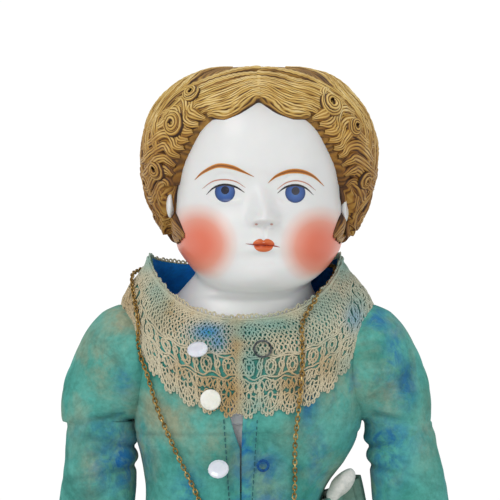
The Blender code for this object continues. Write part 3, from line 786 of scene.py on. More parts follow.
class Locks:
    """Ribbons of moulded hair, gathered into one mesh."""

    def __init__(self, seed):
        self.points, self.faces, self.crest, self.height_shade = [], [], [], []
        self.count = 0
        self.random = np.random.default_rng(seed)

    def ribbon(self, centre, lift, width, height, strands, height_shade, columns=15):
        """A ribbon of strands about a line of 3-D points."""
        n = len(centre)
        directions = unit(centre - HEAD_CENTRE)
        base = HEAD_CENTRE + directions * np.array([scalp(d) for d in directions])[:, None]
        tangent = unit(np.gradient(base, axis=0))
        side = unit(np.cross(tangent, directions))
        v = np.linspace(-1, 1, columns)
        spots = base[:, None] + side[:, None] * (width[:, None] * v)[..., None]
        aim = unit(spots - HEAD_CENTRE)
        radius = np.array([scalp(d) for d in aim.reshape(-1, 3)]).reshape(n, columns)
        dome = np.sqrt(np.clip(1 - np.abs(v) ** 2.4, 0, 1))[None]
        drift = 0.35 * np.sin(np.linspace(0, 2.4 * math.pi, n) + self.random.uniform(0, 6))[:, None]
        phase = math.pi * (v[None] * strands + drift * strands * 0.35) + self.random.uniform(0, 6)
        ridge = 1 - (0.5 - 0.5 * np.cos(phase)) ** 2.6
        rise = height[:, None] * dome - 0.5 * (1 - dome) + 0.30 * (ridge - 0.6) * dome + lift[:, None]
        grid = HEAD_CENTRE + aim * (radius + rise)[..., None]
        worn = noise(grid, 5.0, 11)
        # Painted shade: dome**2 darkens each lock towards its edges, between the locks; worn adds uneven
        # wear.
        crest = (0.12 + 0.88 * ridge) * (0.20 + 0.66 * dome**2 + 0.16 * worn)
        self.points.append(grid.reshape(-1, 3))
        self.faces.append(grid_faces(n, columns, False, self.count))
        self.crest.append(np.clip(crest, 0, 1).reshape(-1))
        # Painted shade: darker lower down the head unless a value is given.
        shade = height_shade if height_shade is not None else 1 - smoothstep(grid[..., 2], 542, 588)
        self.height_shade.append(np.broadcast_to(shade, (n, columns)).reshape(-1))
        self.count += n * columns

    def lock(self, line, width=2.6, height=1.5, strands=4.0, ends=(0.35, 0.35), lift=0.0):
        """A lock through places (x, z) seen from the front, or through 3-D directions."""
        line = np.array([on_head(*p) if len(p) == 2 else p for p in line])
        n = max(18, int(7 * len(line)))
        path = catmull(line, np.linspace(0, len(line) - 1, n))
        t = np.linspace(0, 1, n)
        shape = np.minimum(ends[0] + (1 - ends[0]) * t / 0.22, ends[1] + (1 - ends[1]) * (1 - t) / 0.25)
        shape = np.clip(shape, 0, 1) * (1 + 0.12 * np.sin(t * 9 + self.random.uniform(0, 6)))
        high = height * np.clip(shape, 0.3, 1) * (1 + 0.25 * np.sin(t * 11 + self.random.uniform(0, 6)))
        self.ribbon(HEAD_CENTRE + path * 40, np.full(n, lift), width * shape, high, strands, None)

    def snail(self, place, radius, turns=1.9, start=0.0, clockwise=1, high=1.9):
        """A flat round curl wound in to its middle."""
        direction = on_head(*place) if len(place) == 2 else np.asarray(place)
        middle = HEAD_CENTRE + direction * scalp(direction)
        across = unit(np.cross(np.array([0.0, 0.0, 1.0]), direction))
        up = np.cross(direction, across)
        n = int(30 * turns)
        t = np.linspace(0, 1, n)
        pitch = radius / (turns + 0.35)
        away = radius - pitch * 0.45 - (radius - pitch * 0.9) * t
        angle = start + clockwise * TAU * turns * t
        line = middle + across * (away * np.cos(angle))[:, None] + up * (away * np.sin(angle))[:, None]
        lift = high * (1 - 0.55 * (away / radius) ** 2) - 0.5
        width = np.full(n, pitch * 0.62) * np.clip(0.4 + t * 4, 0, 1) * np.clip(0.55 + (1 - t) * 3, 0, 1)
        self.ribbon(line, lift, width, np.full(n, 0.75), 2.4, None, 11)

    def build(self, name):
        made = make_mesh(name, np.concatenate(self.points), np.concatenate(self.faces), HAIR_GLAZE,
                         {"crest": np.concatenate(self.crest), "height_shade": np.concatenate(self.height_shade)})
        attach(made, TORSO)


WAVES = 7  # combed strands on each side of the part
SIDE_LOCKS = 9
HANGING_LOCKS = 4
CURLS = [  # degrees, share of the band, radius, turn at the start
    (-40, 0.75, 4.4, 0.8), (-60, 0.5, 6.0, 2.6), (-88, 0.45, 4.8, 1.0),
    (46, 0.6, 6.0, 2.2), (64, 0.65, 4.6, 1.4), (94, 0.5, 4.4, -0.6), (122, 0.5, 3.2, 0.5),
]


def combed_wave(way, number):
    """A strand from the part outwards; those nearer the brow are shorter."""
    share = 0.97 - 0.90 * number / (WAVES - 1)
    line = []
    for degrees in np.linspace(-1.0, 80 - 6.5 * number, 12):
        line.append(hair_place(way * degrees, share + 0.09 * combed(degrees) * (1 - share)))
    return line


def side_lock(way, number):
    """A lock that leaves the hairline at the temple and rolls outwards in an S."""
    start = 44 + 54 * number / (SIDE_LOCKS - 1)
    return [
        hair_place(way * (start + 7 * math.sin(TAU * t * 0.9 + 0.5 * number) * t ** 0.5), 0.04 + 0.93 * t)
        for t in np.linspace(0, 1, 7)
    ]


def hanging_lock(way, number):
    """A lock down the side of the head towards the nape."""
    return [
        hair_place(way * degrees, 0.95 - 0.26 * number + 0.05 * math.sin(degrees / 5 + number))
        for degrees in np.linspace(82 + 5 * number, 130, 8)
    ]


def direction_at(degrees, height):
    """The direction on the head at an angle round from the front and a height along the hair."""
    point = surface(HAIR_RINGS, np.radians(degrees), np.asarray(height, float))
    return unit(point - HEAD_CENTRE)


def front_hair():
    locks = Locks(5)
    for way in (1, -1):
        for number in range(SIDE_LOCKS):
            locks.lock(side_lock(way, number), 3.0, 2.1, 4.6)
        for number in range(HANGING_LOCKS):
            locks.lock(hanging_lock(way, number), 2.8, 2.0, 4.6)
        for number in range(WAVES):
            locks.lock(combed_wave(way, number), 2.5, 1.5, 5.0, (0.75, 0.4))
    for degrees, share, radius, start in CURLS:
        locks.snail(hair_place(degrees, share), radius, 1.9, start, 1 if degrees > 0 else -1, high=3.6)
    locks.build("moulded_curls_front")


def back_hair():
    """Waved locks down from the crown, ending in rows of flat curls round the nape."""
    locks = Locks(9)
    count = 30
    for k in range(count):
        degrees = 62 + (298 - 62) * k / (count - 1)
        sway = 3.4
        line = []
        for step, height in enumerate(np.linspace(9.6, 3.4 + 0.5 * (k % 2), 11)):
            spread = min(1.0, (9.9 - height) / 2.0)
            swing = sway * math.sin(step * 1.25 + 0.12 * k) * spread
            line.append(direction_at(degrees + swing, height))
        locks.lock(line, 3.7, 1.5, 5.6, (0.3, 0.5))
    for k in range(13):
        degrees = 78 + (282 - 78) * k / 12
        locks.snail(direction_at(degrees, 3.7 + 0.35 * (k % 2)), 5.4, 1.9, 0.7 * k, 1 if k % 2 else -1)
    for k in range(12):
        degrees = 84 + (276 - 84) * k / 11
        locks.snail(direction_at(degrees, 2.2 + 0.2 * (k % 2)), 4.9, 1.8, 1.1 * k, -1 if k % 2 else 1)
    locks.build("moulded_curls_back")


def ears():
    """Small ear lobes that show below the side curls."""
    for name, x, z, way in (("ear_right", -31.7, 539.0, -1), ("ear_left", 42.4, 537.0, 1)):
        v = np.linspace(0.0, math.pi, 26)[:, None]
        a = np.linspace(0, TAU, 36, endpoint=False)[None]
        fold = 1 - 0.28 * np.exp(-(((a - math.pi * 1.5 - way * 0.9) / 0.5) ** 2)) * np.sin(v)
        x_out = x + way * 1.9 * np.sin(v) * np.cos(a) * fold
        y_out = -11.0 + 5.0 * np.sin(v) * np.sin(a) * fold
        z_out = z + 6.2 * np.cos(v) + 0 * a
        grid = np.stack([x_out, y_out, z_out], -1)
        made = make_mesh(name, grid, grid_faces(26, 36, True), BISQUE, {"blush": np.zeros(26 * 36)})
        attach(made, TORSO)


front_hair()
back_hair()
ears()

# ---- cloth -----------------------------------------------------------------------------------

JACKET_RINGS = [
    (397, 397, 397, 44.5, 37.5, 37.5, -2),
    (405, 405, 405, 39.5, 32, 32, -3.5),
    (412, 412, 412, 37.8, 30.5, 30.5, -4.5),
    (421, 421, 421, 39.5, 31, 31, -3),
    (430, 430, 430, 43.5, 32.4, 32, -0.5),
    (440, 440, 440, 47.5, 34.1, 33, 0.8),
    (450, 452, 452, 50, 35.3, 33.5, 1.2),
    (459, 465, 466, 51.5, 35.5, 33.8, 1.5),
    (467.5, 477, 480, 52, 34.5, 33.3, 1.5),
    (475, 487, 491, 53, 32.5, 32, 1.5),
    (480, 495, 499, 53, 30.1, 30.5, 1),
    (484.5, 502, 505, 50, 27.9, 29, 0.5),
    (488, 508, 508, 45.2, 26.3, 28.2, 0.2),
    (489.6, 513, 510.5, 41.8, 26, 27.5, 0),
    (490.2, 516, 512, 40.6, 26, 27.6, 0),
]
JACKET_POWER = 2.45
COLLAR_S = 14.0
CLOTH = 1.0  # thickness of a doubled, turned edge
SHOULDER_Z = 471.0
CREASE_Z = 442.5

# Dye has run in some places and gone in others: (x, z, half width, half height, amount).
BLUE_PATCHES = [
    (64, 473, 3, 9, 0.8), (69.5, 462, 3, 8, 0.8), (57, 488, 3.5, 4.5, 0.9), (27, 453, 3, 7, 0.7),
    (8, 426, 5, 5, 0.9), (-23.7, 417, 4.5, 5, 0.7), (-52, 463, 3, 4, 0.5), (-54, 428, 7, 9, 1.0),
    (60, 438, 8, 6, 0.9), (61, 429, 6, 9, 0.7), (31, 428, 2.5, 9, 0.6), (-58, 441, 8, 4, 0.6),
    (12, 408, 6, 6, 0.8), (-3, 420, 2, 20, 0.5),
]
FADED_PATCHES = [
    (60, 458, 6, 8, 0.8), (38, 462, 12, 10, 0.7), (-48, 436, 6, 12, 0.9), (-33, 449, 10, 7, 0.8),
    (-53, 490, 5, 8, 0.9), (-13, 436, 6, 8, 0.6), (-62, 470, 5, 9, 0.8), (-66, 425, 4, 9, 0.7),
    (24, 440, 8, 6, 0.5), (78, 440, 4, 12, 0.5),
]


def patches(grid, spots):
    """How far each point lies in the listed patches, from 0 to 1."""
    x, z = seen(grid)
    total = np.zeros(x.shape)
    for x0, z0, wide, high, amount in spots:
        total = np.maximum(total, amount * bump_at(x, z, x0, z0, wide, high))
    return total * (grid[..., 1] < 12)


def cotton(name, colours, weave=0.5, dyed=True):
    """Plain-woven cotton: blotched dye, fine threads, a soft nap, and painted shade in its folds from the
    fold attribute.
    """
    base, light, faded, blue, dark = colours
    shader = Shader(name, 0.95)
    ground = shader.mix(shader.ramp(shader.noise(48, 5, 0.6, 0.6), [(0.34, 0.0), (0.66, 1.0)]), base, light)
    worn = shader.ramp(shader.noise(30, 4, 0.6, 0.4), [(0.50, 0.0), (0.72, 0.75)])
    if dyed:
        rubbed = shader.ramp(shader.noise(130, 5, 0.7), [(0.34, 0.1), (0.6, 1.0)])
        worn = shader.maths("ADD", worn, shader.maths("MULTIPLY", shader.attribute("faded"), rubbed))
    ground = shader.mix(worn, ground, faded)
    run = shader.ramp(shader.noise(26, 5, 0.62, 1.2, (1.3, 1.3, 0.5)), [(0.62, 0.0), (0.76, 0.6)])
    if dyed:
        torn = shader.ramp(shader.noise(110, 6, 0.7, 1.0), [(0.38, 0.0), (0.58, 1.0)])
        run = shader.maths("ADD", run, shader.maths("MULTIPLY", shader.attribute("blue"), torn))
    ground = shader.mix(run, ground, blue)
    # Painted shade: the fold attribute mixes in the dark colour along creases and folds.
    fold = shader.attribute("fold") if dyed else 0.0
    ground = shader.mix(fold, ground, dark)
    deep = shader.ramp(shader.noise(75, 5, 0.7, 0.8), [(0.30, (0.50, 0.60, 0.60)), (0.52, (1.0, 1.0, 1.0))])
    ground = shader.mix(0.75 if dyed else 0.2, ground, deep, "MULTIPLY")
    mottle = shader.ramp(shader.noise(420, 4, 0.7), [(0.30, (0.74, 0.78, 0.76)), (0.70, (1.12, 1.10, 1.10))])
    ground = shader.mix(0.9, ground, mottle, "MULTIPLY")
    warp = shader.ramp(shader.threads(weave, "X"), [(0.0, (0.86, 0.86, 0.86)), (1.0, (1.0, 1.0, 1.0))])
    weft = shader.ramp(shader.threads(weave, "Z"), [(0.0, (0.86, 0.86, 0.86)), (1.0, (1.0, 1.0, 1.0))])
    ground = shader.mix(0.8, ground, shader.mix(1.0, warp, weft, "MULTIPLY"), "MULTIPLY")
    shader.colour(ground)
    shader.bump(shader.noise(900, 3, 0.65), 0.5, 0.3)
    shader.bump(shader.noise(150, 4, 0.6), 0.5, 1.2)
    return shader.material


# The last colour of each list is the painted shade that dyed cloth mixes into its folds.
TEAL = cotton("jacket_cotton", [
    (0.045, 0.31, 0.25), (0.115, 0.49, 0.42), (0.34, 0.40, 0.27), (0.002, 0.15, 0.44), (0.0, 0.045, 0.06),
])
LINING = cotton("blue_lining", [
    (0.0, 0.19, 0.72), (0.0, 0.27, 0.85), (0.0, 0.16, 0.55), (0.0, 0.08, 0.45), (0.0, 0.04, 0.2),
], dyed=False)
SKIRT_COTTON = cotton("skirt_cotton", [
    (0.035, 0.26, 0.22), (0.09, 0.41, 0.36), (0.27, 0.33, 0.24), (0.002, 0.12, 0.40), (0.0, 0.04, 0.06),
])
WHITE_COTTON = cotton("white_cotton", [
    (0.84, 0.83, 0.79), (0.92, 0.91, 0.88), (0.78, 0.74, 0.62), (0.74, 0.76, 0.78), (0.45, 0.43, 0.38),
], 0.4, False)
MUSLIN = cotton("muslin", [
    (0.58, 0.51, 0.38), (0.66, 0.59, 0.46), (0.50, 0.42, 0.29), (0.52, 0.45, 0.33), (0.3, 0.25, 0.17),
], 0.7, False)


def cloth_shell(name, outer, inner, lining, attributes, replaces, body=TORSO, wrap=False):
    """A turned piece of cloth: an outer and an inner face joined round its edges."""
    rows, columns = outer.shape[:2]
    count = rows * columns
    faces = grid_faces(rows, columns, wrap)
    back = grid_faces(rows, columns, wrap, count, flip=True)
    edges = []
    j = np.arange(columns if wrap else columns - 1)
    k = (j + 1) % columns
    top = (rows - 1) * columns
    edges.append(np.stack([k, j, count + j, count + k], -1))
    edges.append(np.stack([top + j, top + k, count + top + k, count + top + j], -1))
    if not wrap:
        i = np.arange(rows - 1) * columns
        edges.append(np.stack([i, i + columns, count + i + columns, count + i], -1))
        i = i + columns - 1
        edges.append(np.stack([i + columns, i, count + i, count + i + columns], -1))
    both = {key: np.concatenate([value.reshape(-1)] * 2) for key, value in attributes.items()}
    every = np.concatenate([faces, back] + edges)
    made = make_mesh(name, np.concatenate([outer.reshape(-1, 3), inner.reshape(-1, 3)]), every, TEAL, both)
    made.data.materials.append(lining)
    index = np.zeros(len(every), np.int32)
    index[len(faces):len(faces) + len(back)] = 1
    made.data.polygons.foreach_set("material_index", index)
    if replaces:
        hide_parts(*replaces)
    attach(made, body)
    return made


def wrinkles(grid, seed):
    """Soft creases of worn cotton, mostly across the body, in millimetres."""
    stretched = grid * np.array([1.0, 1.0, 2.1])
    wide = noise(stretched, 26, seed)
    fine = noise(grid * np.array([1.0, 1.0, 1.6]), 9, seed + 1)
    return 0.75 * wide + 0.28 * fine


EDGE_X = {  # x of each front edge at some heights, rising
    "right": [(397, -2.0), (436, -2.0), (443, -4.4), (450, -6.4), (458, -4.6), (466, -2.2), (491, -0.8)],
    "left": [(397, -1.4), (436, -1.4), (443, -1.2), (450, -0.7), (458, -0.7), (466, -0.9), (491, 0.2)],
}


def edge_angle(side, s):
    """Angle of a front edge at places s."""
    ring = catmull(JACKET_RINGS, s)
    heights, places = zip(*EDGE_X[side])
    x = np.interp(ring[..., 0], heights, places)
    share = (x - ring[..., 6]) / ring[..., 3]
    return np.arcsin(powered(share, JACKET_POWER / 2))


def jacket_panel(name, start, end, s, columns, seed, replaces):
    """A panel between two angles, each one value or one per row."""
    t = np.linspace(0, 1, columns)[None, :]
    start, end = (np.broadcast_to(a, s.shape)[:, None] for a in (start, end))
    u = start + (end - start) * t
    grid = surface(JACKET_RINGS, u, s[:, None], JACKET_POWER)
    out = normals(grid)
    lift = wrinkles(grid, seed) * smoothstep(13.2 - s[:, None], 0, 2)
    height = grid[..., 2]
    creased = 0.35 + 0.65 * smoothstep(noise(grid, 14, seed + 5), -0.4, 0.5)
    line = height - CREASE_Z + 0.03 * np.abs(grid[..., 0]) + 0.4 * noise(grid, 8, seed + 6)
    lift = lift - 0.45 * creased * np.exp(-((line / 0.9) ** 2))
    lift = lift + 0.4 * creased * np.exp(-(((line - 2.4) / 2.0) ** 2))
    outer = grid + out * lift[..., None]
    inner = outer - out * CLOTH
    # Painted shade: the fold attribute darkens the cloth along the crease and at the jacket's lower edge.
    low = 1 - smoothstep(height, 399, 404)
    fold = 0.2 * creased * np.exp(-((line / 0.8) ** 2)) + 0.25 * low
    edge = np.minimum(np.abs(u - start), np.abs(end - u)) * np.abs(catmull(JACKET_RINGS, s)[:, 3:4])
    ragged = 0.7 + 0.5 * noise(grid, 5, seed + 7)
    turned = (
        ragged * (1 - smoothstep(edge, 2.6, 3.6)) * (name == "jacket_left_front") * (u < 0.5)
        * smoothstep(450 - height, 0, 3)
    )
    attributes = {
        "blue": np.maximum(patches(outer, BLUE_PATCHES), turned),
        "faded": patches(outer, FADED_PATCHES) * (1 - turned),
        "fold": fold,
    }
    made = cloth_shell(name, outer, inner, LINING, attributes, replaces)


def jacket():
    s = np.linspace(0, COLLAR_S, 190)
    side = math.radians(90)
    jacket_panel("jacket_left_front", edge_angle("left", s), side, s, 130, 21, ["jacket_front_left"])
    jacket_panel("jacket_right_front", -side, edge_angle("right", s), s, 130, 31, ["jacket_front_right"])
    jacket_panel("jacket_back_panel", side, 3 * side, s, 180, 41, ["jacket_back", "collar_band"])


# ---- sleeves ---------------------------------------------------------------------------------

ARM_LINES = {  # height and x of the arm's middle, falling
    "left": [
        (446, 65.6), (434, 67.4), (418, 70), (400, 72.4), (375, 76.2), (350, 82), (329, 86.2), (316, 88.5),
    ],
    "right": [
        (446, -61.8), (434, -62), (418, -62.6), (400, -64.4), (375, -69.2), (350, -77), (329, -83.6),
        (316, -87),
    ],
}
SLEEVE_WIDTHS = [(446, 14.6), (434, 15.4), (418, 16), (400, 16), (375, 15.4), (350, 14.4), (329, 13)]
ARMPIT_X = {"left": 50.5, "right": -49}
ARMPIT_Z = 446.0
SLEEVE_CREASES = [  # height, slope round the arm, depth
    (447, 3.5, 1.8), (439, -4.0, 1.3), (424, 3.0, 1.0), (404, -3.5, 1.2), (385, 2.5, 0.9),
]
CAP_ANGLES = [0, 6, 14, 22, 34, 48, 65, 90]
CAP_SPANS = [50, 50, 48.4, 45, 39.5, 35, 31.6, 29.2]


def sleeve(side):
    """A sleeve round the armhole and down the arm; near the shoulder it is round about the joint."""
    way = 1 if side == "left" else -1
    columns = 96
    around = TAU * np.arange(columns) / columns
    angles = np.radians(np.linspace(0, 90, 44))
    spans = np.interp(np.degrees(angles), CAP_ANGLES, CAP_SPANS)
    rows = []
    pit = ARMPIT_X[side]
    for x_in, radius in ((-9, 20), (-6, 22.5), (-3, 24.3)):
        rows.append(np.stack([
            np.full(columns, pit + way * x_in),
            radius * np.sin(around),
            SHOULDER_Z + radius * np.cos(around),
        ], -1))
    for angle, span in zip(angles, spans):
        radius = span / 2
        reach = radius * (1 + np.cos(around))
        rows.append(np.stack([
            pit + way * reach * math.sin(angle),
            radius * np.sin(around),
            ARMPIT_Z + reach * math.cos(angle),
        ], -1))
    heights = np.linspace(445.2, 329, 120)
    high_first = ARM_LINES[side][::-1]
    middles = np.interp(heights, *zip(*high_first))
    widths = np.interp(heights, *zip(*SLEEVE_WIDTHS[::-1]))
    for z, x, radius in zip(heights, middles, widths):
        rows.append(np.stack([
            x + way * radius * np.cos(around), radius * np.sin(around), np.full(columns, z),
        ], -1))
    grid = np.array(rows)
    out = normals(grid, True)
    out *= np.sign((out[60] * (grid[60] - grid[60].mean(0))).sum())
    down = smoothstep(np.arange(len(rows)), 10, 40)[:, None]
    height = grid[..., 2]
    lift = (wrinkles(grid, 51 if way > 0 else 61) * 1.1 + 0.2) * down
    turn = np.cos(around - math.pi)[None]
    for z0, slope, deep in SLEEVE_CREASES:
        line = z0 + slope * turn
        share = 0.55 + 0.45 * turn
        lift = lift - deep * np.exp(-(((height - line) / 1.5) ** 2)) * down * share
        lift = lift + 0.7 * deep * np.exp(-(((height - line - 3.6) / 2.4) ** 2)) * down * share
    outer = grid + out * lift[..., None]
    # Painted shade: the cloth darkens where the creases sink in.
    fold = 0.75 * np.clip(-lift / 1.8, 0, 1)
    inner_side = smoothstep(turn, 0.2, 0.9) * down * 0.5
    attributes = {
        "blue": np.maximum(patches(outer, BLUE_PATCHES), inner_side * 0.8),
        "faded": patches(outer, FADED_PATCHES),
        "fold": np.clip(fold, 0, 1) * down,
    }
    made = cloth_shell(f"cotton_sleeve_{side}", outer, outer - out * CLOTH, LINING, attributes,
                       [f"sleeve_{side}"], f"arm_{side}", wrap=True)


jacket()
sleeve("left")
sleeve("right")


def jacket_tree():
    """The jacket's plain surface, for laying things onto it."""
    rows, columns = 141, 241
    u = np.linspace(-math.pi, math.pi, columns)[None]
    s = np.linspace(0, COLLAR_S, rows)[:, None]
    grid = surface(JACKET_RINGS, u, s, JACKET_POWER)
    return BVHTree.FromPolygons(grid.reshape(-1, 3).tolist(), grid_faces(rows, columns).tolist())


JACKET_TREE = jacket_tree()


def on_jacket(x, z, lift):
    """The point of the jacket's front seen at (x, z), lifted off it."""
    hit, normal, _, _ = JACKET_TREE.ray_cast(VIEWER, sight(x, z))
    if hit is None:
        return None
    normal = normal if normal.y < 0 else -normal
    return np.array(hit) + np.array(normal) * lift


def jacket_place(u, s, lift):
    """Points at angles u and places s, lifted off the jacket by so much."""
    step = 0.01
    u, s = np.broadcast_arrays(np.asarray(u, float), np.asarray(s, float))
    point = surface(JACKET_RINGS, u, s, JACKET_POWER)
    across = surface(JACKET_RINGS, u + step, s, JACKET_POWER)
    across = across - surface(JACKET_RINGS, u - step, s, JACKET_POWER)
    high, low = np.minimum(s + step, COLLAR_S), np.maximum(s - step, 0)
    along = surface(JACKET_RINGS, u, high, JACKET_POWER) - surface(JACKET_RINGS, u, low, JACKET_POWER)
    return point + unit(np.cross(across, along)) * np.asarray(lift, float)[..., None]


# ---- lace ------------------------------------------------------------------------------------

LACE_LOW = ([0, 20, 37, 65, 90, 130, 180], [6.0, 6.3, 7.1, 8.9, 9.9, 9.6, 9.2])
LACE_PERIOD = 9.0
LACE_LIFT = 0.9
LACE_GAP = {"left": -3.0, "right": -2.2}  # x where each half starts at the front


def lace_material():
    shader = Shader("lace_thread", 0.95, sheen=0.2)
    ground = shader.ramp(shader.noise(60, 4, 0.6), [
        (0.30, (0.46, 0.52, 0.40)), (0.46, (0.66, 0.60, 0.42)), (0.62, (0.70, 0.63, 0.45)),
        (0.75, (0.52, 0.34, 0.12)),
    ])
    stained = shader.mix(shader.attribute("stain"), ground, (0.46, 0.27, 0.07))
    tinted = shader.mix(shader.attribute("tint"), stained, (0.22, 0.46, 0.40))
    blued = shader.mix(shader.attribute("blue"), tinted, (0.04, 0.30, 0.56))
    fibres = shader.ramp(shader.noise(2500, 2), [(0.3, (0.72, 0.72, 0.72)), (0.7, (1.1, 1.1, 1.1))])
    shader.colour(shader.mix(1.0, blued, fibres, "MULTIPLY"))
    shader.bump(shader.noise(2600, 2), 0.6, 0.15)
    return shader.material


LACE = lace_material()
STAINS = [  # as the patches on the jacket
    (-6, 458, 4, 10, 0.9), (-14, 462, 6, 5, 0.7), (-4, 478, 3, 8, 0.8), (-35, 492, 6, 6, 0.4),
    (20, 462, 4, 6, 0.8), (-9, 450, 5, 3, 0.9), (34, 470, 5, 5, 0.5), (-27, 468, 4, 4, 0.5),
    (-50, 498, 4, 8, 0.6), (16, 486, 3, 3, 0.5),
]
TINTS = [
    (3, 470, 4, 6, 0.9), (2, 484, 6, 3, 0.8), (14, 487, 7, 3, 0.8), (4, 452, 4, 3, 0.7),
    (33, 495, 6, 7, 0.6), (48, 495, 5, 9, 0.5), (-37, 500, 4, 8, 0.5),
    (-40, 515, 6, 4, 0.8), (42, 514, 5, 6, 0.8),
]
BLUE_STAINS = [(-16, 484, 5, 2.6, 1.0), (-12, 480, 3, 3, 0.8), (47, 490, 3, 4, 0.5)]


class LaceHalf:
    """One half of the bobbin-lace collar, drawn as real threads on the jacket."""

    def __init__(self, side):
        self.way = 1 if side == "left" else -1
        angles = np.radians(np.linspace(-10, 181, 420))
        u = self.way * angles
        low = np.interp(np.abs(np.degrees(angles)), *LACE_LOW)
        edge = surface(JACKET_RINGS, u, low + 0.35 * (COLLAR_S - low), JACKET_POWER)
        start = np.argmax(self.way * edge[:, 0] > self.way * LACE_GAP[side])
        self.angles = angles[start:]
        self.low = low[start:]
        step = np.linalg.norm(np.diff(edge[start:], axis=0), axis=1)
        self.arc = np.concatenate([[0], np.cumsum(step)])
        rows = [surface(JACKET_RINGS, u[start:], self.low + (COLLAR_S - self.low) * v, JACKET_POWER)
                for v in np.linspace(0, 1, 12)]
        self.depth = sum(np.linalg.norm(b - a, axis=1) for a, b in zip(rows, rows[1:]))
        self.length = self.arc[-1]
        self.random = np.random.default_rng(71 if side == "left" else 73)
        self.paths = []

    def across(self, a):
        return np.interp(a, self.arc, self.depth)

    def thread(self, a, d, lift=0.0):
        """A thread through arc places a and distances d up from the outer edge."""
        a, d = np.broadcast_arrays(np.asarray(a, float), np.asarray(d, float))
        wander = 0.38 * np.interp(a, np.arange(-10, 400, 2.1), self.random.uniform(-1, 1, 196))
        a = np.clip(a, 0, self.length)
        angle = np.interp(a, self.arc, self.angles)
        low = np.interp(a, self.arc, self.low)
        share = np.clip((d + wander) / self.across(a), -0.03, 1.01)
        s = np.minimum(low + (COLLAR_S - low) * share, COLLAR_S)
        ripple = 0.25 * np.sin(a * 0.9) + 0.2 * np.sin(d * 1.1 + a * 0.4)
        self.paths.append(jacket_place(self.way * angle, s, LACE_LIFT + lift + ripple * 0.6))

    def arc_thread(self, a0, d0, radius, start, end, squash=1.0, count=14, lift=0.0):
        t = np.linspace(start, end, count)
        self.thread(a0 + radius * np.sin(t), d0 - radius * squash * np.cos(t), lift)

    def draw(self):
        period = LACE_PERIOD
        count = int(self.length / period)
        period = self.length / count
        a = np.linspace(0, self.length, int(self.length / 0.7))
        for d, sway in ((8.4, 0.5), (9.3, 0.5), (14.6, 0.4), (15.5, 0.4)):
            self.thread(a, d + sway * np.sin(TAU * a / period), 0.15)
        for sway in (1.4, -1.4):
            self.thread(a, 6.9 + sway * np.sin(2 * TAU * a / period + 0.5), 0.05)
        self.thread(a, 6.6 + 0.8 * np.sin(3.3 * TAU * a / period), 0.1)
        for k in range(count):
            middle = (k + 0.5) * period
            for radius in (3.1, 4.3):
                self.arc_thread(middle, 4.6, radius, -1.75, 1.75, 1.0, 20, 0.1)
            for spoke in np.linspace(-1.5, 1.5, 8):
                out = np.array([0.8, 4.4])
                self.thread(middle + out * math.sin(spoke), 4.6 - out * math.cos(spoke))
            self.arc_thread(middle, 4.6, 1.0, 0, TAU, 1.0, 10, 0.2)
            for tip in np.linspace(-1.6, 1.6, 8):
                x, d = middle + 4.6 * math.sin(tip), 4.6 - 4.6 * math.cos(tip)
                self.arc_thread(x, d - 0.1, 0.62, -2.4, 2.4, 1.0, 7, 0.1)
            for radius in (2.2, 1.1):
                self.arc_thread(middle, 12.0, radius, 0, TAU, 1.0, 18, 0.15)
            for spoke in np.linspace(0, TAU, 9)[:-1]:
                out = np.array([1.0, 2.7])
                self.thread(middle + out * math.sin(spoke), 12.0 - out * math.cos(spoke))
            join = k * period
            self.thread(join + np.array([0.0, 0.5, -0.4, 0.0]), np.array([0.8, 3.2, 5.8, 8.6]))
            self.thread(join + np.array([-0.6, 0.3, -0.2]), np.array([1.4, 4.5, 8.4]))
            self.thread(join + np.array([0.0, 0.7, -0.5, 0.2]), np.array([9.2, 11.0, 13.2, 15.0]))
            self.thread(join + np.array([-1.2, 0.6, 1.3]), np.array([9.2, 12.0, 15.0]))
            self.arc_thread(join, 12.0, 1.1, 0, TAU, 1.0, 12, 0.1)
        net = 1.9
        for k in range(int(self.length / net) + 18):
            for way in (-1, 1):
                d = np.linspace(15.3, 40, 40)
                start = k * net - (9 if way > 0 else 0)
                places = start + way * (d - 15.3) * 0.62 + 0.35 * np.sin(d * 2.2 + k)
                fits = (d < self.across(np.clip(places, 0, self.length)) - 0.5)
                fits &= (places > 0) & (places < self.length)
                if fits.sum() > 3:
                    run = np.flatnonzero(fits)
                    run = run[: np.argmax(np.diff(run, append=999) > 1) + 1]
                    self.thread(places[run], d[run])
        top = self.across(a)
        for inset in (0.3, 1.3, 2.2):
            self.thread(a, top - inset + 0.3 * np.sin(a * 1.3 + inset), 0.2)
        self.thread(a, top - 1.2 + 1.3 * np.sin(a * 2.6), 0.3)
        self.thread(a, top - 1.2 + 1.3 * np.cos(a * 2.1), 0.3)
        d = np.linspace(0.5, self.across(0.0) - 0.5, 60)
        for inset, sway in ((0.2, 0.3), (1.2, 0.9), (2.0, 0.9), (0.9, -0.9)):
            self.thread(inset + sway * np.sin(d * 1.7), d, 0.2)

    def loops(self):
        """Picots that stand up from the neck edge."""
        for k in np.arange(1.0, self.length, 2.4):
            angle = self.way * np.interp(k, self.arc, self.angles)
            foot = jacket_place(angle, COLLAR_S, 0.4)
            side = jacket_place(angle + 0.02, COLLAR_S, 0.4) - foot
            side = side / np.linalg.norm(side)
            t = np.linspace(-2.3, 2.3, 8)
            rise = 0.9 + 0.5 * self.random.uniform(-1, 1)
            up = np.array([0, 0, 1]) * (rise * (0.7 + np.cos(t)))[:, None]
            self.paths.append(foot + side * (0.8 * np.sin(t))[:, None] + up)


def lace_collar(side):
    half = LaceHalf(side)
    half.draw()
    half.loops()
    points, faces = tubes(half.paths, 0.38, 4)
    made = make_mesh(f"bobbin_lace_{side}", points, faces, LACE, {
        "stain": patches(points, STAINS), "tint": patches(points, TINTS),
        "blue": patches(points, BLUE_STAINS),
    })
    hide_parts(f"lace_collar_{side}")
    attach(made, TORSO)


lace_collar("left")
lace_collar("right")

# ---- necklace --------------------------------------------------------------------------------

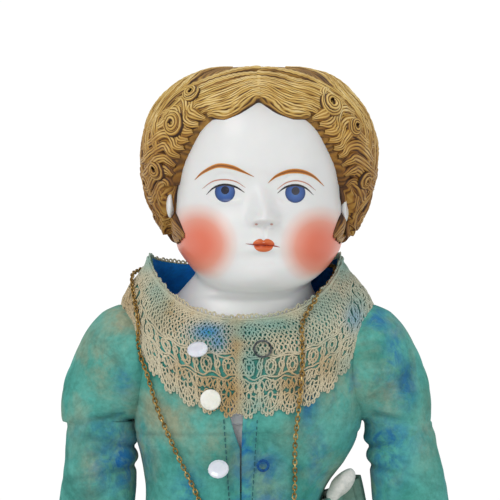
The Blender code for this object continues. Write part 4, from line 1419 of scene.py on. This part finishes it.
CHAIN_RIGHT = [
    (-44.8, 488.4), (-44.2, 477), (-40.6, 465.6), (-36, 450.6), (-29.9, 435.7), (-24.6, 424), (-19, 411)
]
CHAIN_LEFT = [(24.8, 488), (24.3, 480), (24.1, 466.4), (22.5, 450.6), (21, 435.7), (19.9, 412)]
CHAIN_LOW = [
    (-12.5, -41.5, 395), (-7.5, -46, 379), (-3.5, -49.5, 367.5), (0.5, -50.5, 363.5),
    (4.5, -49.5, 367.5), (9.5, -46, 379), (15, -41.5, 395),
]
CHAIN_BEHIND = [  # degrees round from the front, place up the jacket, distance off it
    (41, 13.6, 1.6), (48, 14, 0.0), (58, 13.6, -2.6), (75, 13.2, -3.2), (95, 13.2, -3.4),
    (118, 13.4, -3.0), (135, 14, 0.4), (150, 13.6, 2.0), (180, 13.2, 2.2), (210, 13, 2.3),
    (240, 12.6, 2.4), (262, 12.2, 2.5), (276, 11.6, 2.6),
]
CHAIN_LIFT = 2.3
CHAIN_LINK = 1.9


def gilt():
    shader = Shader("gilt_metal", 0.34, metallic=1.0)
    shader.colour(shader.ramp(shader.noise(420, 3), [
        (0.3, (0.15, 0.085, 0.022)), (0.55, (0.45, 0.28, 0.085)), (0.75, (0.86, 0.66, 0.30)),
    ]))
    shader.roughness(shader.ramp(shader.noise(300, 2), [(0.3, 0.5), (0.7, 0.24)]))
    return shader.material


def chain_route():
    """The closed necklace's line: down the front, round its lowest point, up, and behind the neck."""
    route = [on_jacket(x, z, CHAIN_LIFT) for x, z in CHAIN_RIGHT]
    route += [np.array(point, float) for point in CHAIN_LOW]
    route += [on_jacket(x, z, CHAIN_LIFT) for x, z in CHAIN_LEFT[::-1]]
    for degrees, s, lift in CHAIN_BEHIND:
        over_edge = 1.3 if s == COLLAR_S else 0
        route.append(jacket_place(math.radians(degrees), s, lift) + np.array([0, 0, over_edge]))
    return np.array(route)


def evenly(route, spacing):
    """Points at equal distances along a closed smooth line."""
    n = len(route)
    t = np.linspace(0, n, n * 40, endpoint=False)
    i = np.floor(t).astype(int)
    f = (t - i)[:, None]
    p0, p1, p2, p3 = (route[(i + k) % n] for k in (-1, 0, 1, 2))
    line = 0.5 * (2 * p1 + (p2 - p0) * f + (2 * p0 - 5 * p1 + 4 * p2 - p3) * f**2
                  + (3 * p1 - 3 * p2 + p3 - p0) * f**3)
    step = np.linalg.norm(np.roll(line, -1, 0) - line, axis=1)
    total = step.sum()
    count = 2 * int(round(total / spacing / 2))
    arc = np.concatenate([[0], np.cumsum(step)])
    at = np.linspace(0, total, count, endpoint=False)
    closed = np.vstack([line, line[:1]])
    return np.stack([np.interp(at, arc, closed[:, k]) for k in range(3)], -1)


def necklace():
    places = evenly(chain_route(), CHAIN_LINK)
    n = len(places)
    ahead = unit(np.roll(places, -1, 0) - np.roll(places, 1, 0))
    out = places * np.array([1, 1, 0])
    out = unit(out - ahead * (out * ahead).sum(1, keepdims=True))
    side = np.cross(ahead, out)
    t = TAU * np.arange(14) / 14
    paths = []
    for k in range(n):
        lean = math.radians(38 if k % 2 else -52)
        wide = side[k] * math.cos(lean) + out[k] * math.sin(lean)
        paths.append(places[k] + ahead[k] * (1.38 * np.sign(np.cos(t)) * np.abs(np.cos(t)) ** 0.8)[:, None]
                     + wide * (0.80 * np.sin(t))[:, None])
    points, faces = tubes(paths, 0.31, 5, closed=True)
    made = make_mesh("gilt_cable_chain", points, faces, GILT)
    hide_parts("necklace_chain")
    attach(made, TORSO)


GILT = gilt()
necklace()

# ---- skirt and petticoat ---------------------------------------------------------------------

SKIRT_RINGS = [  # z, half width, front depth, back depth, centre x
    (408, 36.5, 29, 29, -4), (396, 41.8, 34.8, 35, -2.5), (385, 48, 41.5, 43, -1), (370, 54, 48.5, 51, 0),
    (350, 59.5, 56, 59, 0), (318, 66.5, 65, 69, 0), (290, 72.5, 73, 78, 0), (250, 83, 84, 90, 0),
    (200, 97, 97, 103, 0), (150, 111, 111, 116, 0), (100, 124, 123, 127, 0), (50, 136, 133, 135, 0),
    (0, 145, 140, 140, 0),
]
FOLDS = 23
GATHER_SIDE = math.radians(94)
GATHERS = 56  # small gathers into the waistband, easing into the large folds below


def skirt_grid(inset, top, bottom, rows, columns, fold_share=1.0):
    """The skirt's cloth in soft folds that deepen to the hem, drawn in by a distance, with the painted shade
    of its fold troughs.
    """
    u = TAU * np.arange(columns) / columns
    s = np.linspace(0, len(SKIRT_RINGS) - 1, rows)
    z, width, front, back, centre = np.moveaxis(catmull(SKIRT_RINGS, s), -1, 0)
    z = bottom + (z - SKIRT_RINGS[-1][0]) * (top - bottom) / (SKIRT_RINGS[0][0] - SKIRT_RINGS[-1][0])
    down = smoothstep(408 - z, 0, 380)[:, None]
    phase = FOLDS * u + 0.9 * np.sin(3 * u + 0.6) + 0.7 * np.sin(5 * u + 2.0)
    wave = np.sin(phase)[None] + 0.35 * np.sin(2.1 * phase + 1.0 + 0.004 * z[:, None])
    wave = wave * (0.75 + 0.25 * np.sin(2 * u + 1.3))[None]
    drop = 408 - z
    deep = np.interp(drop, [0, 12, 34, 130, 270, 385], [0.7, 1.3, 2.5, 2.5, 1.5, 0.0])
    gather = np.sin(GATHERS * u + 0.8 * np.sin(7 * u))[None] * deep[:, None]
    lift = (0.9 + 4.6 * down) * wave * 0.7 * fold_share + gather - inset
    away = np.angle(np.exp(1j * (u - GATHER_SIDE)))
    pushed_out = np.interp(z, [350, 370, 385, 396, 408], [0, 4, 9.5, 14, 17])
    bulge = np.exp(-((away / 0.50) ** 2))[None] * pushed_out[:, None]
    depth = np.where(np.cos(u)[None] > 0, front[:, None], back[:, None])
    x = centre[:, None] + (width[:, None] + lift + bulge) * np.sin(u)[None]
    y = -(depth + lift) * np.cos(u)[None]
    height = z[:, None] + bulge * 0.85 * smoothstep(z, 385, 408)[:, None]
    grid = np.stack([x, y, np.broadcast_to(height, x.shape)], -1)
    # Painted shade in the fold troughs, deeper lower down.
    shade = np.clip(0.5 - 0.5 * wave / 1.2, 0, 1) * (0.25 + 0.45 * down)
    return grid, shade


def skirts():
    outer, shade = skirt_grid(0.0, 408, 0.0, 165, 560)
    inner, _ = skirt_grid(1.1, 408, 0.0, 165, 560)
    hem = smoothstep(26 - outer[..., 2], 0, 1.5)
    rise = 0.35 * smoothstep(408 - outer[..., 2], 60, 300) * wrinkle_field(outer)
    outer = outer + normals(outer, True) * rise[..., None]
    # The fold attribute carries painted shade in the skirt's fold troughs.
    made = cloth_shell("gathered_skirt", outer, inner, SKIRT_COTTON, {
        "blue": patches(outer, BLUE_PATCHES) * 0.5, "faded": 0.35 * hem,
        "fold": np.clip(shade - 0.25, 0, 0.6),
    }, ["skirt"], wrap=True)
    made.data.materials[0] = SKIRT_COTTON
    outer, shade = skirt_grid(4.0, 406, 9.0, 150, 560)
    inner, _ = skirt_grid(4.9, 406, 9.0, 150, 560)
    made = cloth_shell("gathered_petticoat", outer, inner, WHITE_COTTON, {
        "blue": shade * 0, "faded": shade * 0, "fold": np.clip(shade - 0.3, 0, 0.5),
    }, ["petticoat"], wrap=True)
    made.data.materials[0] = WHITE_COTTON


def wrinkle_field(grid):
    return noise(grid, 17, 81) + 0.5 * noise(grid, 7, 83)


def band(name, node, inset, thick, low, high, material, seed):
    """A waistband: a flat strip of doubled cloth round the waist."""
    columns, rows = 260, 14
    u = TAU * np.arange(columns)[None] / columns
    z = np.linspace(low, high, rows)[:, None]
    ring = np.array(JACKET_RINGS)
    width, front, back, centre = (np.interp(z, ring[:, 1], ring[:, k]) for k in (3, 4, 5, 6))
    depth = np.where(np.cos(u) > 0, front, back)
    pucker = 0.18 * np.sin(48 * u + 0.4 * z) + 0.25 * noise(np.stack([
        40 * np.sin(u) + 0 * z, 40 * np.cos(u) + 0 * z, 0 * u + z], -1), 6, seed)
    crown = 0.35 * np.sin(math.pi * (z - low) / (high - low))
    grids = []
    for gap in (inset, inset + thick):
        away = crown * (1 if gap == inset else 0) + pucker - gap
        grids.append(np.stack([
            centre + (width + away) * np.sin(u), -(depth + away) * np.cos(u), z + 0.3 * np.sin(9 * u),
        ], -1))
    flat = np.zeros(grids[0].shape[:2])
    attributes = {"blue": flat, "faded": flat, "fold": flat}
    made = cloth_shell(name, grids[0], grids[1], material, attributes, [node], wrap=True)
    made.data.materials[0] = material


def tie_knot():
    """The tied tape of the petticoat, a flattened knot with a fold across it."""
    low, high = (np.array(corner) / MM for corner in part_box("petticoat_tie"))
    middle = (low + high) / 2
    rows, columns = 50, 70
    v = np.linspace(0.001, math.pi - 0.001, rows)[:, None]
    a = TAU * np.arange(columns)[None] / columns
    x = np.sin(v) * np.cos(a)
    y = np.sin(v) * np.sin(a)
    z = np.cos(v) + 0 * a
    fold = 1 - 0.26 * np.exp(-(((x - 0.1) / 0.18) ** 2)) * (z > -0.9)
    fold = fold - 0.12 * np.exp(-(((z + 0.45) / 0.2) ** 2))
    lump = 1 + 0.08 * np.sin(3 * a + 2 * z) * np.sin(v)
    local = np.stack([4.0 * x * fold * lump, 3.4 * y * lump, 8.6 * z * (0.9 + 0.1 * fold)], -1)
    lean = math.radians(38)
    turned = np.stack([
        local[..., 0] * math.cos(lean) + local[..., 2] * math.sin(lean),
        local[..., 1],
        -local[..., 0] * math.sin(lean) + local[..., 2] * math.cos(lean),
    ], -1)
    made = make_mesh("petticoat_tape_knot", turned + middle + np.array([-0.6, -2.5, 1.5]),
                     grid_faces(rows, columns, True), WHITE_COTTON)
    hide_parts("petticoat_tie")
    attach(made, TORSO)


# ---- stuffed body and limbs ------------------------------------------------------------------

BODY_RINGS = [
    (362, 362, 362, 38, 25, 28, 0),
    (368, 368, 368, 44, 31.5, 35.5, 0),
    (380, 380, 380, 43.3, 32.8, 34.8, -1),
    (396, 396, 396, 36.6, 29.4, 29.8, -2.5),
    (405, 405, 405, 31.8, 24, 24.2, -4),
    (412, 412, 412, 31.4, 23.6, 23.6, -4.5),
    (420, 420, 420, 33, 25, 24.5, -3.5),
    (430, 432, 430, 38, 28.5, 27, -1),
    (440, 446, 440, 42, 30.6, 29, 0),
    (447, 458, 447, 41.5, 29.8, 28, 0),
    (452, 466, 456, 40, 28, 26.5, 0),
]


def stuffed(name, grid, replaces, body, seams, seed):
    """A sawdust-stuffed cloth piece, lumpy and seamed, closed at both ends."""
    rows, columns = grid.shape[:2]
    out = normals(grid, True)
    middle = grid.mean((0, 1))
    out *= np.sign((out * (grid - middle))[rows // 2].sum())
    lift = 0.35 * noise(grid, 12, seed) + 0.12 * noise(grid, 4, seed + 1)
    u = TAU * np.arange(columns) / columns
    for seam in seams:
        away = np.angle(np.exp(1j * (u - seam)))
        lift = lift - 0.55 * np.exp(-((away / 0.035) ** 2))[None]
    grid = grid + out * (lift - 0.35)[..., None]
    piece = make_mesh(name, *closed_tube(grid), MUSLIN)
    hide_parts(*replaces)
    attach(piece, body)
    return piece


def stuffed_pieces():
    u = TAU * np.arange(128)[None] / 128
    s = np.linspace(0, len(BODY_RINGS) - 1, 110)[:, None]
    body = surface(BODY_RINGS, u, s)
    piece = stuffed("stuffed_body", body, ["torso_body"], TORSO, (math.pi / 2, -math.pi / 2, math.pi), 91)
    piece.data.materials[0] = WHITE_COTTON
    around = TAU * np.arange(72) / 72
    for side, way in (("left", 1), ("right", -1)):
        low, high = (np.array(c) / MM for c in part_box(f"upper_arm_{side}"))
        z = np.linspace(high[2] - 0.3, low[2] + 0.3, 90)
        radius = np.interp(z, [384, 412, 440, 466, 474, 478, 480.7],
                           [9.3, 10.4, 10.2, 9.6, 7.6, 5.2, 1.2])
        line = UPPER_ARM_LINES[side]
        x = np.interp(z, *zip(*line[::-1]))
        grid = np.stack([
            x[:, None] + way * radius[:, None] * np.cos(around), radius[:, None] * np.sin(around),
            np.broadcast_to(z[:, None], (90, 72)),
        ], -1)
        stuffed(f"stuffed_arm_{side}", grid, [f"upper_arm_{side}"], f"arm_{side}", (math.pi,), 93)
        low, high = (np.array(c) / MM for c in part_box(f"thigh_{side}"))
        z = np.linspace(high[2] - 0.3, low[2] + 0.3, 120)
        radius = np.interp(z, [190, 210, 250, 300, 330, 341, 349, 355, 358.6, 360],
                           [13.8, 14.8, 16.8, 18.3, 18.8, 18.8, 16.8, 12.1, 6.8, 2.0])
        grid = np.stack([
            (low[0] + high[0]) / 2 + radius[:, None] * np.cos(around), radius[:, None] * np.sin(around),
            np.broadcast_to(z[:, None], (120, 72)),
        ], -1)
        stuffed(f"stuffed_leg_{side}", grid, [f"thigh_{side}"], f"leg_{side}", (math.pi / 2,), 95)


UPPER_ARM_LINES = {
    "left": [(486, 64), (471, 64), (440, 66), (412, 70), (390, 73.5), (370, 77.5)],
    "right": [(486, -64), (471, -64), (440, -63), (412, -62), (390, -65), (370, -70.5)],
}


def capsule(points, radii, sides=16):
    """A closed tapering tube through points."""
    points = np.array(points, float)
    radii = np.array(radii, float)
    t = np.linspace(0, len(points) - 1, 6 * len(points))
    line = catmull(points, t)
    radius = np.interp(t, np.arange(len(radii)), radii)
    tangent = unit(np.gradient(line, axis=0))
    side = unit(np.cross(tangent, [[0.0, 1.0, 0.05]]))
    up = np.cross(side, tangent)
    a = TAU * np.arange(sides) / sides
    ring = side[:, None] * np.cos(a)[:, None] + up[:, None] * np.sin(a)[:, None]
    body = line[:, None] + ring * radius[:, None, None]
    caps = [line[0] - tangent[0] * radius[0] * 0.7, line[-1] + tangent[-1] * radius[-1] * 0.7]
    return body, caps


def joined(name, parts, voxel, material, smooth_steps):
    """Tubes merged into one smooth body by a voxel remesh."""
    points, faces, start = [], [], 0
    for body, caps in parts:
        n, sides = body.shape[:2]
        points += body.reshape(-1, 3).tolist() + [c.tolist() for c in caps]
        faces += grid_faces(n, sides, True, start).tolist()
        last, tip = start + (n - 1) * sides, start + n * sides
        for j in range(sides):
            after = (j + 1) % sides
            faces.append([start + after, start + j, tip])
            faces.append([last + j, last + after, tip + 1])
        start = len(points)
    made = make_mesh(name, points, faces, material, smooth=False)
    remesh = made.modifiers.new("remesh", "REMESH")
    remesh.mode = "VOXEL"
    remesh.voxel_size = voxel * MM
    smooth = made.modifiers.new("smooth", "SMOOTH")
    smooth.factor = 0.5
    smooth.iterations = smooth_steps
    graph = bpy.context.evaluated_depsgraph_get()
    final = bpy.data.meshes.new_from_object(made.evaluated_get(graph))
    made.modifiers.clear()
    made.data = final
    final.shade_smooth()
    return made


def forearm(side):
    """A bisque forearm with a slightly cupped hand, the palm towards the body."""
    way = 1 if side == "left" else -1
    line = ARM_LINES[side]
    top_x = np.interp(384, *zip(*line[::-1]))
    wrist_x = line[-1][1]
    hand_x = wrist_x + 1.8 * way
    parts = [capsule(
        [(top_x, 0, 383), (np.interp(365, *zip(*line[::-1])), 0, 365),
         (np.interp(345, *zip(*line[::-1])), 0, 345),
         (np.interp(327, *zip(*line[::-1])), 0, 327), (wrist_x, 0, 314), (hand_x, -0.3, 303)],
        [8.2, 9.2, 8.8, 7.2, 5.6, 5.2], 28)]
    curl = -1.4 * way
    for y, reach, size in ((-5.2, 277.5, 2.0), (-1.8, 275.0, 2.15), (1.7, 276.0, 2.1), (4.9, 280.0, 1.85)):
        parts.append(capsule(
            [(wrist_x, y * 0.45, 312), (hand_x, y * 0.85, 300), (hand_x + 0.3 * way, y, 290),
             (hand_x + curl * 0.5, y * 1.05, 284), (hand_x + curl * 1.6, y * 1.02, reach)],
            [3.4, 3.6, 2.5, 2.2, size * 0.85]))
    parts.append(capsule(
        [(wrist_x, -3, 309), (hand_x - 1.2 * way, -6.6, 301), (hand_x - 2.4 * way, -8.4, 293.5),
         (hand_x - 2.8 * way, -8.3, 288)], [3.0, 2.9, 2.3, 1.8]))
    made = joined(f"bisque_forearm_{side}", parts, 0.7, BISQUE, 6)
    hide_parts(f"forearm_{side}")
    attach(made, f"arm_{side}")


def boot_glaze():
    """Bisque above, a glazed black boot below with a worn brown sole."""
    shader = Shader("boot_glaze", 0.3, coat=0.2)
    height = shader.node("ShaderNodeSeparateXYZ")
    shader.tree.links.new(shader.place, height.inputs["Vector"])
    z = height.outputs["Z"]
    wobble = shader.maths("MULTIPLY", shader.noise(260, 3), 0.0025)
    z = shader.maths("ADD", z, wobble)
    worn = shader.ramp(
        shader.noise(220, 4),
        [(0.35, (0.012, 0.011, 0.012)), (0.62, (0.03, 0.025, 0.024)), (0.8, (0.16, 0.11, 0.08))]
    )
    pale = shader.ramp(shader.noise(60, 3), [(0.3, (0.80, 0.79, 0.78)), (0.7, (0.86, 0.85, 0.84))])
    top = shader.ramp(shader.maths("MULTIPLY", z, 10.0), [(0.735, 0.0), (0.745, 1.0)])
    sole = shader.ramp(shader.maths("MULTIPLY", z, 10.0), [(0.118, 0.0), (0.128, 1.0)])
    brown = shader.ramp(shader.noise(300, 4), [(0.3, (0.10, 0.045, 0.02)), (0.7, (0.22, 0.11, 0.05))])
    shader.colour(shader.mix(top, shader.mix(sole, brown, worn), pale))
    shader.roughness(shader.ramp(top, [(0.0, 0.18), (1.0, 0.38)]))
    return shader.material


CALF_RINGS = [  # z, half width, front depth, back depth
    (190, 13.6, 13.6, 13.6), (165, 14.2, 13.2, 16), (140, 13.6, 12.4, 15.6), (105, 11, 10.4, 12.4),
    (76, 9.1, 8.9, 9.9), (73.5, 9.9, 9.7, 10.7), (50, 8.9, 9.2, 10), (36, 9.3, 12, 11), (26, 9.9, 20, 12),
    (18, 10.5, 28, 12.6), (13.2, 10.7, 31.8, 12.9), (12.4, 11.1, 32.6, 13.3), (7.3, 11.0, 32.8, 13.2),
]


def lower_leg(side):
    """A bisque calf with a moulded ankle boot."""
    low, high = (np.array(c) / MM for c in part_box(f"lower_leg_{side}"))
    centre = (low[0] + high[0]) / 2
    rows, columns = 190, 120
    s = np.linspace(0, len(CALF_RINGS) - 1, rows)
    ring = catmull(CALF_RINGS, s)
    u = TAU * np.arange(columns)[None] / columns
    z, width, front, back = (ring[:, k:k + 1] for k in range(4))
    depth = np.where(np.cos(u) > 0, front, back)
    power = 1.0 - 0.12 * smoothstep(40 - z, 0, 20)
    y = -depth * np.cos(u)
    x = centre + width * powered(np.sin(u), power)
    arch = smoothstep(30 - z, 0, 16) * (z > 12.5)
    lace_line = np.exp(-((np.angle(np.exp(1j * u)) / 0.34) ** 2)) * smoothstep(z, 30, 36)
    lace_line = lace_line * (1 - smoothstep(z, 68, 72))
    y = y - 0.35 * lace_line * np.sin(z * 1.25)
    x = x - (x - centre) * 0.06 * arch * np.exp(-((y + 8) / 8) ** 2)
    grid = np.stack([x, y, np.broadcast_to(z, x.shape)], -1)
    made = make_mesh(f"booted_leg_{side}", *closed_tube(grid), BOOT)
    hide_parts(f"lower_leg_{side}")
    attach(made, f"leg_{side}")


def cuff(side):
    """A doubled, stitched band at the wrist end of a sleeve."""
    way = 1 if side == "left" else -1
    low, high = (np.array(c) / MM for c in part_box(f"cuff_{side}"))
    rows, columns = 26, 110
    a = TAU * np.arange(columns)[None] / columns
    z = np.linspace(high[2] + 1.5, low[2], rows)[:, None]
    x = np.interp(z, *zip(*ARM_LINES[side][::-1]))
    roll = 0.7 * np.sin(math.pi * np.linspace(0, 1, rows))[:, None] ** 0.4
    stitched = 0.35 * np.exp(-(((z - low[2] - 2.2) / 0.35) ** 2))
    stitched = stitched + 0.35 * np.exp(-(((z - high[2] + 1.6) / 0.35) ** 2))
    radius = (high[0] - low[0]) / 2 - 1.0 + roll - stitched + 0.15 * np.sin(21 * a + 0.5 * z)
    grid = np.stack([x + way * radius * np.cos(a), radius * np.sin(a), np.broadcast_to(z, radius.shape)], -1)
    inner = np.stack([x + way * (radius - 1.3) * np.cos(a), (radius - 1.3) * np.sin(a),
                      np.broadcast_to(z, radius.shape)], -1)
    zero = np.zeros(grid.shape[:2])
    # Painted shade: the fold attribute darkens the stitched grooves.
    made = cloth_shell(f"cotton_cuff_{side}", grid, inner, LINING,
                       {"blue": zero + 0.25, "faded": zero + 0.2, "fold": np.clip(stitched + zero, 0, 1)},
                       [f"cuff_{side}"], f"arm_{side}", wrap=True)


# ---- fastenings ------------------------------------------------------------------------------


def glossy(name, dark, light, roughness):
    shader = Shader(name, roughness, coat=0.3, subsurface=0.05)
    shader.colour(shader.ramp(shader.noise(260, 4), [(0.3, dark), (0.7, light)]))
    return shader.material


def stitches():
    """Rows of running stitches beside the two front edges."""
    shader = Shader("stitch_thread", 0.9)
    shader.colour(shader.ramp(shader.noise(900, 2), [(0.3, (0.01, 0.07, 0.09)), (0.7, (0.03, 0.16, 0.17))]))
    paths = []
    for x_high, x_low in ((5.4, 2.6), (-9.2, -6.2)):
        for z in np.arange(403, 447, 2.6):
            share = (z - 403) / 44
            x = x_low + (x_high - x_low) * share
            stitch = ((0, 0.1), (0.5, 0.75), (1.1, 0.75), (1.6, 0.1))
            ends = [on_jacket(x, z + dz, lift) for dz, lift in stitch]
            if all(end is not None for end in ends):
                paths.append(ends)
    points, faces = tubes(paths, 0.22, 5)
    made = make_mesh("front_stitching", points, faces, shader.material)
    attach(made, TORSO)


def finish_nodes():
    """Materials for the CAD pieces that stay as they are."""
    china = glossy("china_button", (0.74, 0.77, 0.84), (0.84, 0.86, 0.92), 0.16)
    pearl = glossy("pearl_button", (0.78, 0.77, 0.66), (0.90, 0.89, 0.82), 0.24)
    steel = Shader("steel_wire", 0.3, metallic=1.0)
    steel.colour(steel.ramp(steel.noise(500, 3), [(0.3, (0.05, 0.06, 0.07)), (0.7, (0.30, 0.32, 0.34))]))
    thread = Shader("buttonhole_thread", 0.9)
    thread.colour(thread.ramp(thread.noise(900, 3), [(0.3, (0.0, 0.05, 0.22)), (0.7, (0.01, 0.14, 0.38))]))
    thread.bump(thread.threads(0.5, "X"), 0.8, 0.3)
    for node, material in (
        ("china_button_upper", china), ("china_button_middle", china), ("china_button_lower", china),
        ("pearl_button", pearl), ("wire_ring", steel.material), ("worked_buttonhole", thread.material),
        ("chain_clasp", GILT),
    ):
        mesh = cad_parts[node].data
        mesh.materials.clear()
        mesh.materials.append(material)


BOOT = boot_glaze()
stuffed_pieces()
band("skirt_waistband_cloth", "skirt_waistband", 1.7, 1.0, 408.5, 417.5, SKIRT_COTTON, 101)
band(
    "petticoat_waistband_cloth", "petticoat_waistband", 3.6, 1.0, 408.2, 417.0, WHITE_COTTON,
    103
)
skirts()
tie_knot()
for arm_side in ("left", "right"):
    forearm(arm_side)
    cuff(arm_side)
    lower_leg(arm_side)
stitches()
finish_nodes()


# ---- camera, light and floor -----------------------------------------------------------------

def camera():
    data = bpy.data.cameras.new("camera")
    data.sensor_width = 36
    data.lens = 36 * CAMERA_DISTANCE / VIEW_WIDTH
    data.clip_start = 0.01
    data.clip_end = 20
    made = bpy.data.objects.new("camera", data)
    made.location = VIEWER * MM
    made.rotation_euler = (math.radians(90), 0, 0)
    bpy.context.scene.collection.objects.link(made)
    bpy.context.scene.camera = made


def area_light(name, place, aim, size, power, colour=(1, 1, 1)):
    data = bpy.data.lights.new(name, "AREA")
    data.shape = "DISK"
    data.size = size
    data.energy = power
    data.color = colour
    made = bpy.data.objects.new(name, data)
    made.location = place
    made.rotation_euler = (Vector(aim) - Vector(place)).to_track_quat("-Z", "Y").to_euler()
    bpy.context.scene.collection.objects.link(made)


def studio():
    """Large soft lights, and a sky that is bright near the horizon and dimmer overhead."""
    aim = (0, 0, 0.5)
    area_light("key", (-0.9, -1.3, 1.5), aim, 0.9, 11)
    area_light("fill", (1.3, -1.3, 0.9), aim, 1.4, 4)
    area_light("top", (0.1, 0.2, 1.8), aim, 1.0, 6)
    world = bpy.data.worlds.new("studio")
    bpy.context.scene.world = world
    world.use_nodes = True
    tree = world.node_tree
    place = tree.nodes.new("ShaderNodeTexCoord")
    split = tree.nodes.new("ShaderNodeSeparateXYZ")
    ramp = tree.nodes.new("ShaderNodeValToRGB")
    ramp.color_ramp.elements[0].position = 0.16
    ramp.color_ramp.elements[0].color = (1.0, 1.0, 1.0, 1.0)
    ramp.color_ramp.elements[1].position = 0.45
    ramp.color_ramp.elements[1].color = (0.30, 0.31, 0.33, 1.0)
    tree.links.new(place.outputs["Generated"], split.inputs["Vector"])
    tree.links.new(split.outputs["Z"], ramp.inputs["Fac"])
    tree.links.new(ramp.outputs["Color"], tree.nodes["Background"].inputs["Color"])
    tree.nodes["Background"].inputs["Strength"].default_value = 1.03


def floor():
    shader = Shader("floor", 0.7)
    shader.colour(shader.ramp(shader.noise(6, 3), [(0.3, (0.88, 0.88, 0.87)), (0.7, (0.91, 0.91, 0.90))]))
    size = 1500.0
    corners = [[(-size, -size, 0), (size, -size, 0)], [(-size, size, 0), (size, size, 0)]]
    plane = make_mesh("floor", np.array(corners, float), grid_faces(2, 2), shader.material, smooth=False)


camera()
studio()
floor()
bpy.context.scene.view_settings.view_transform = "Standard"
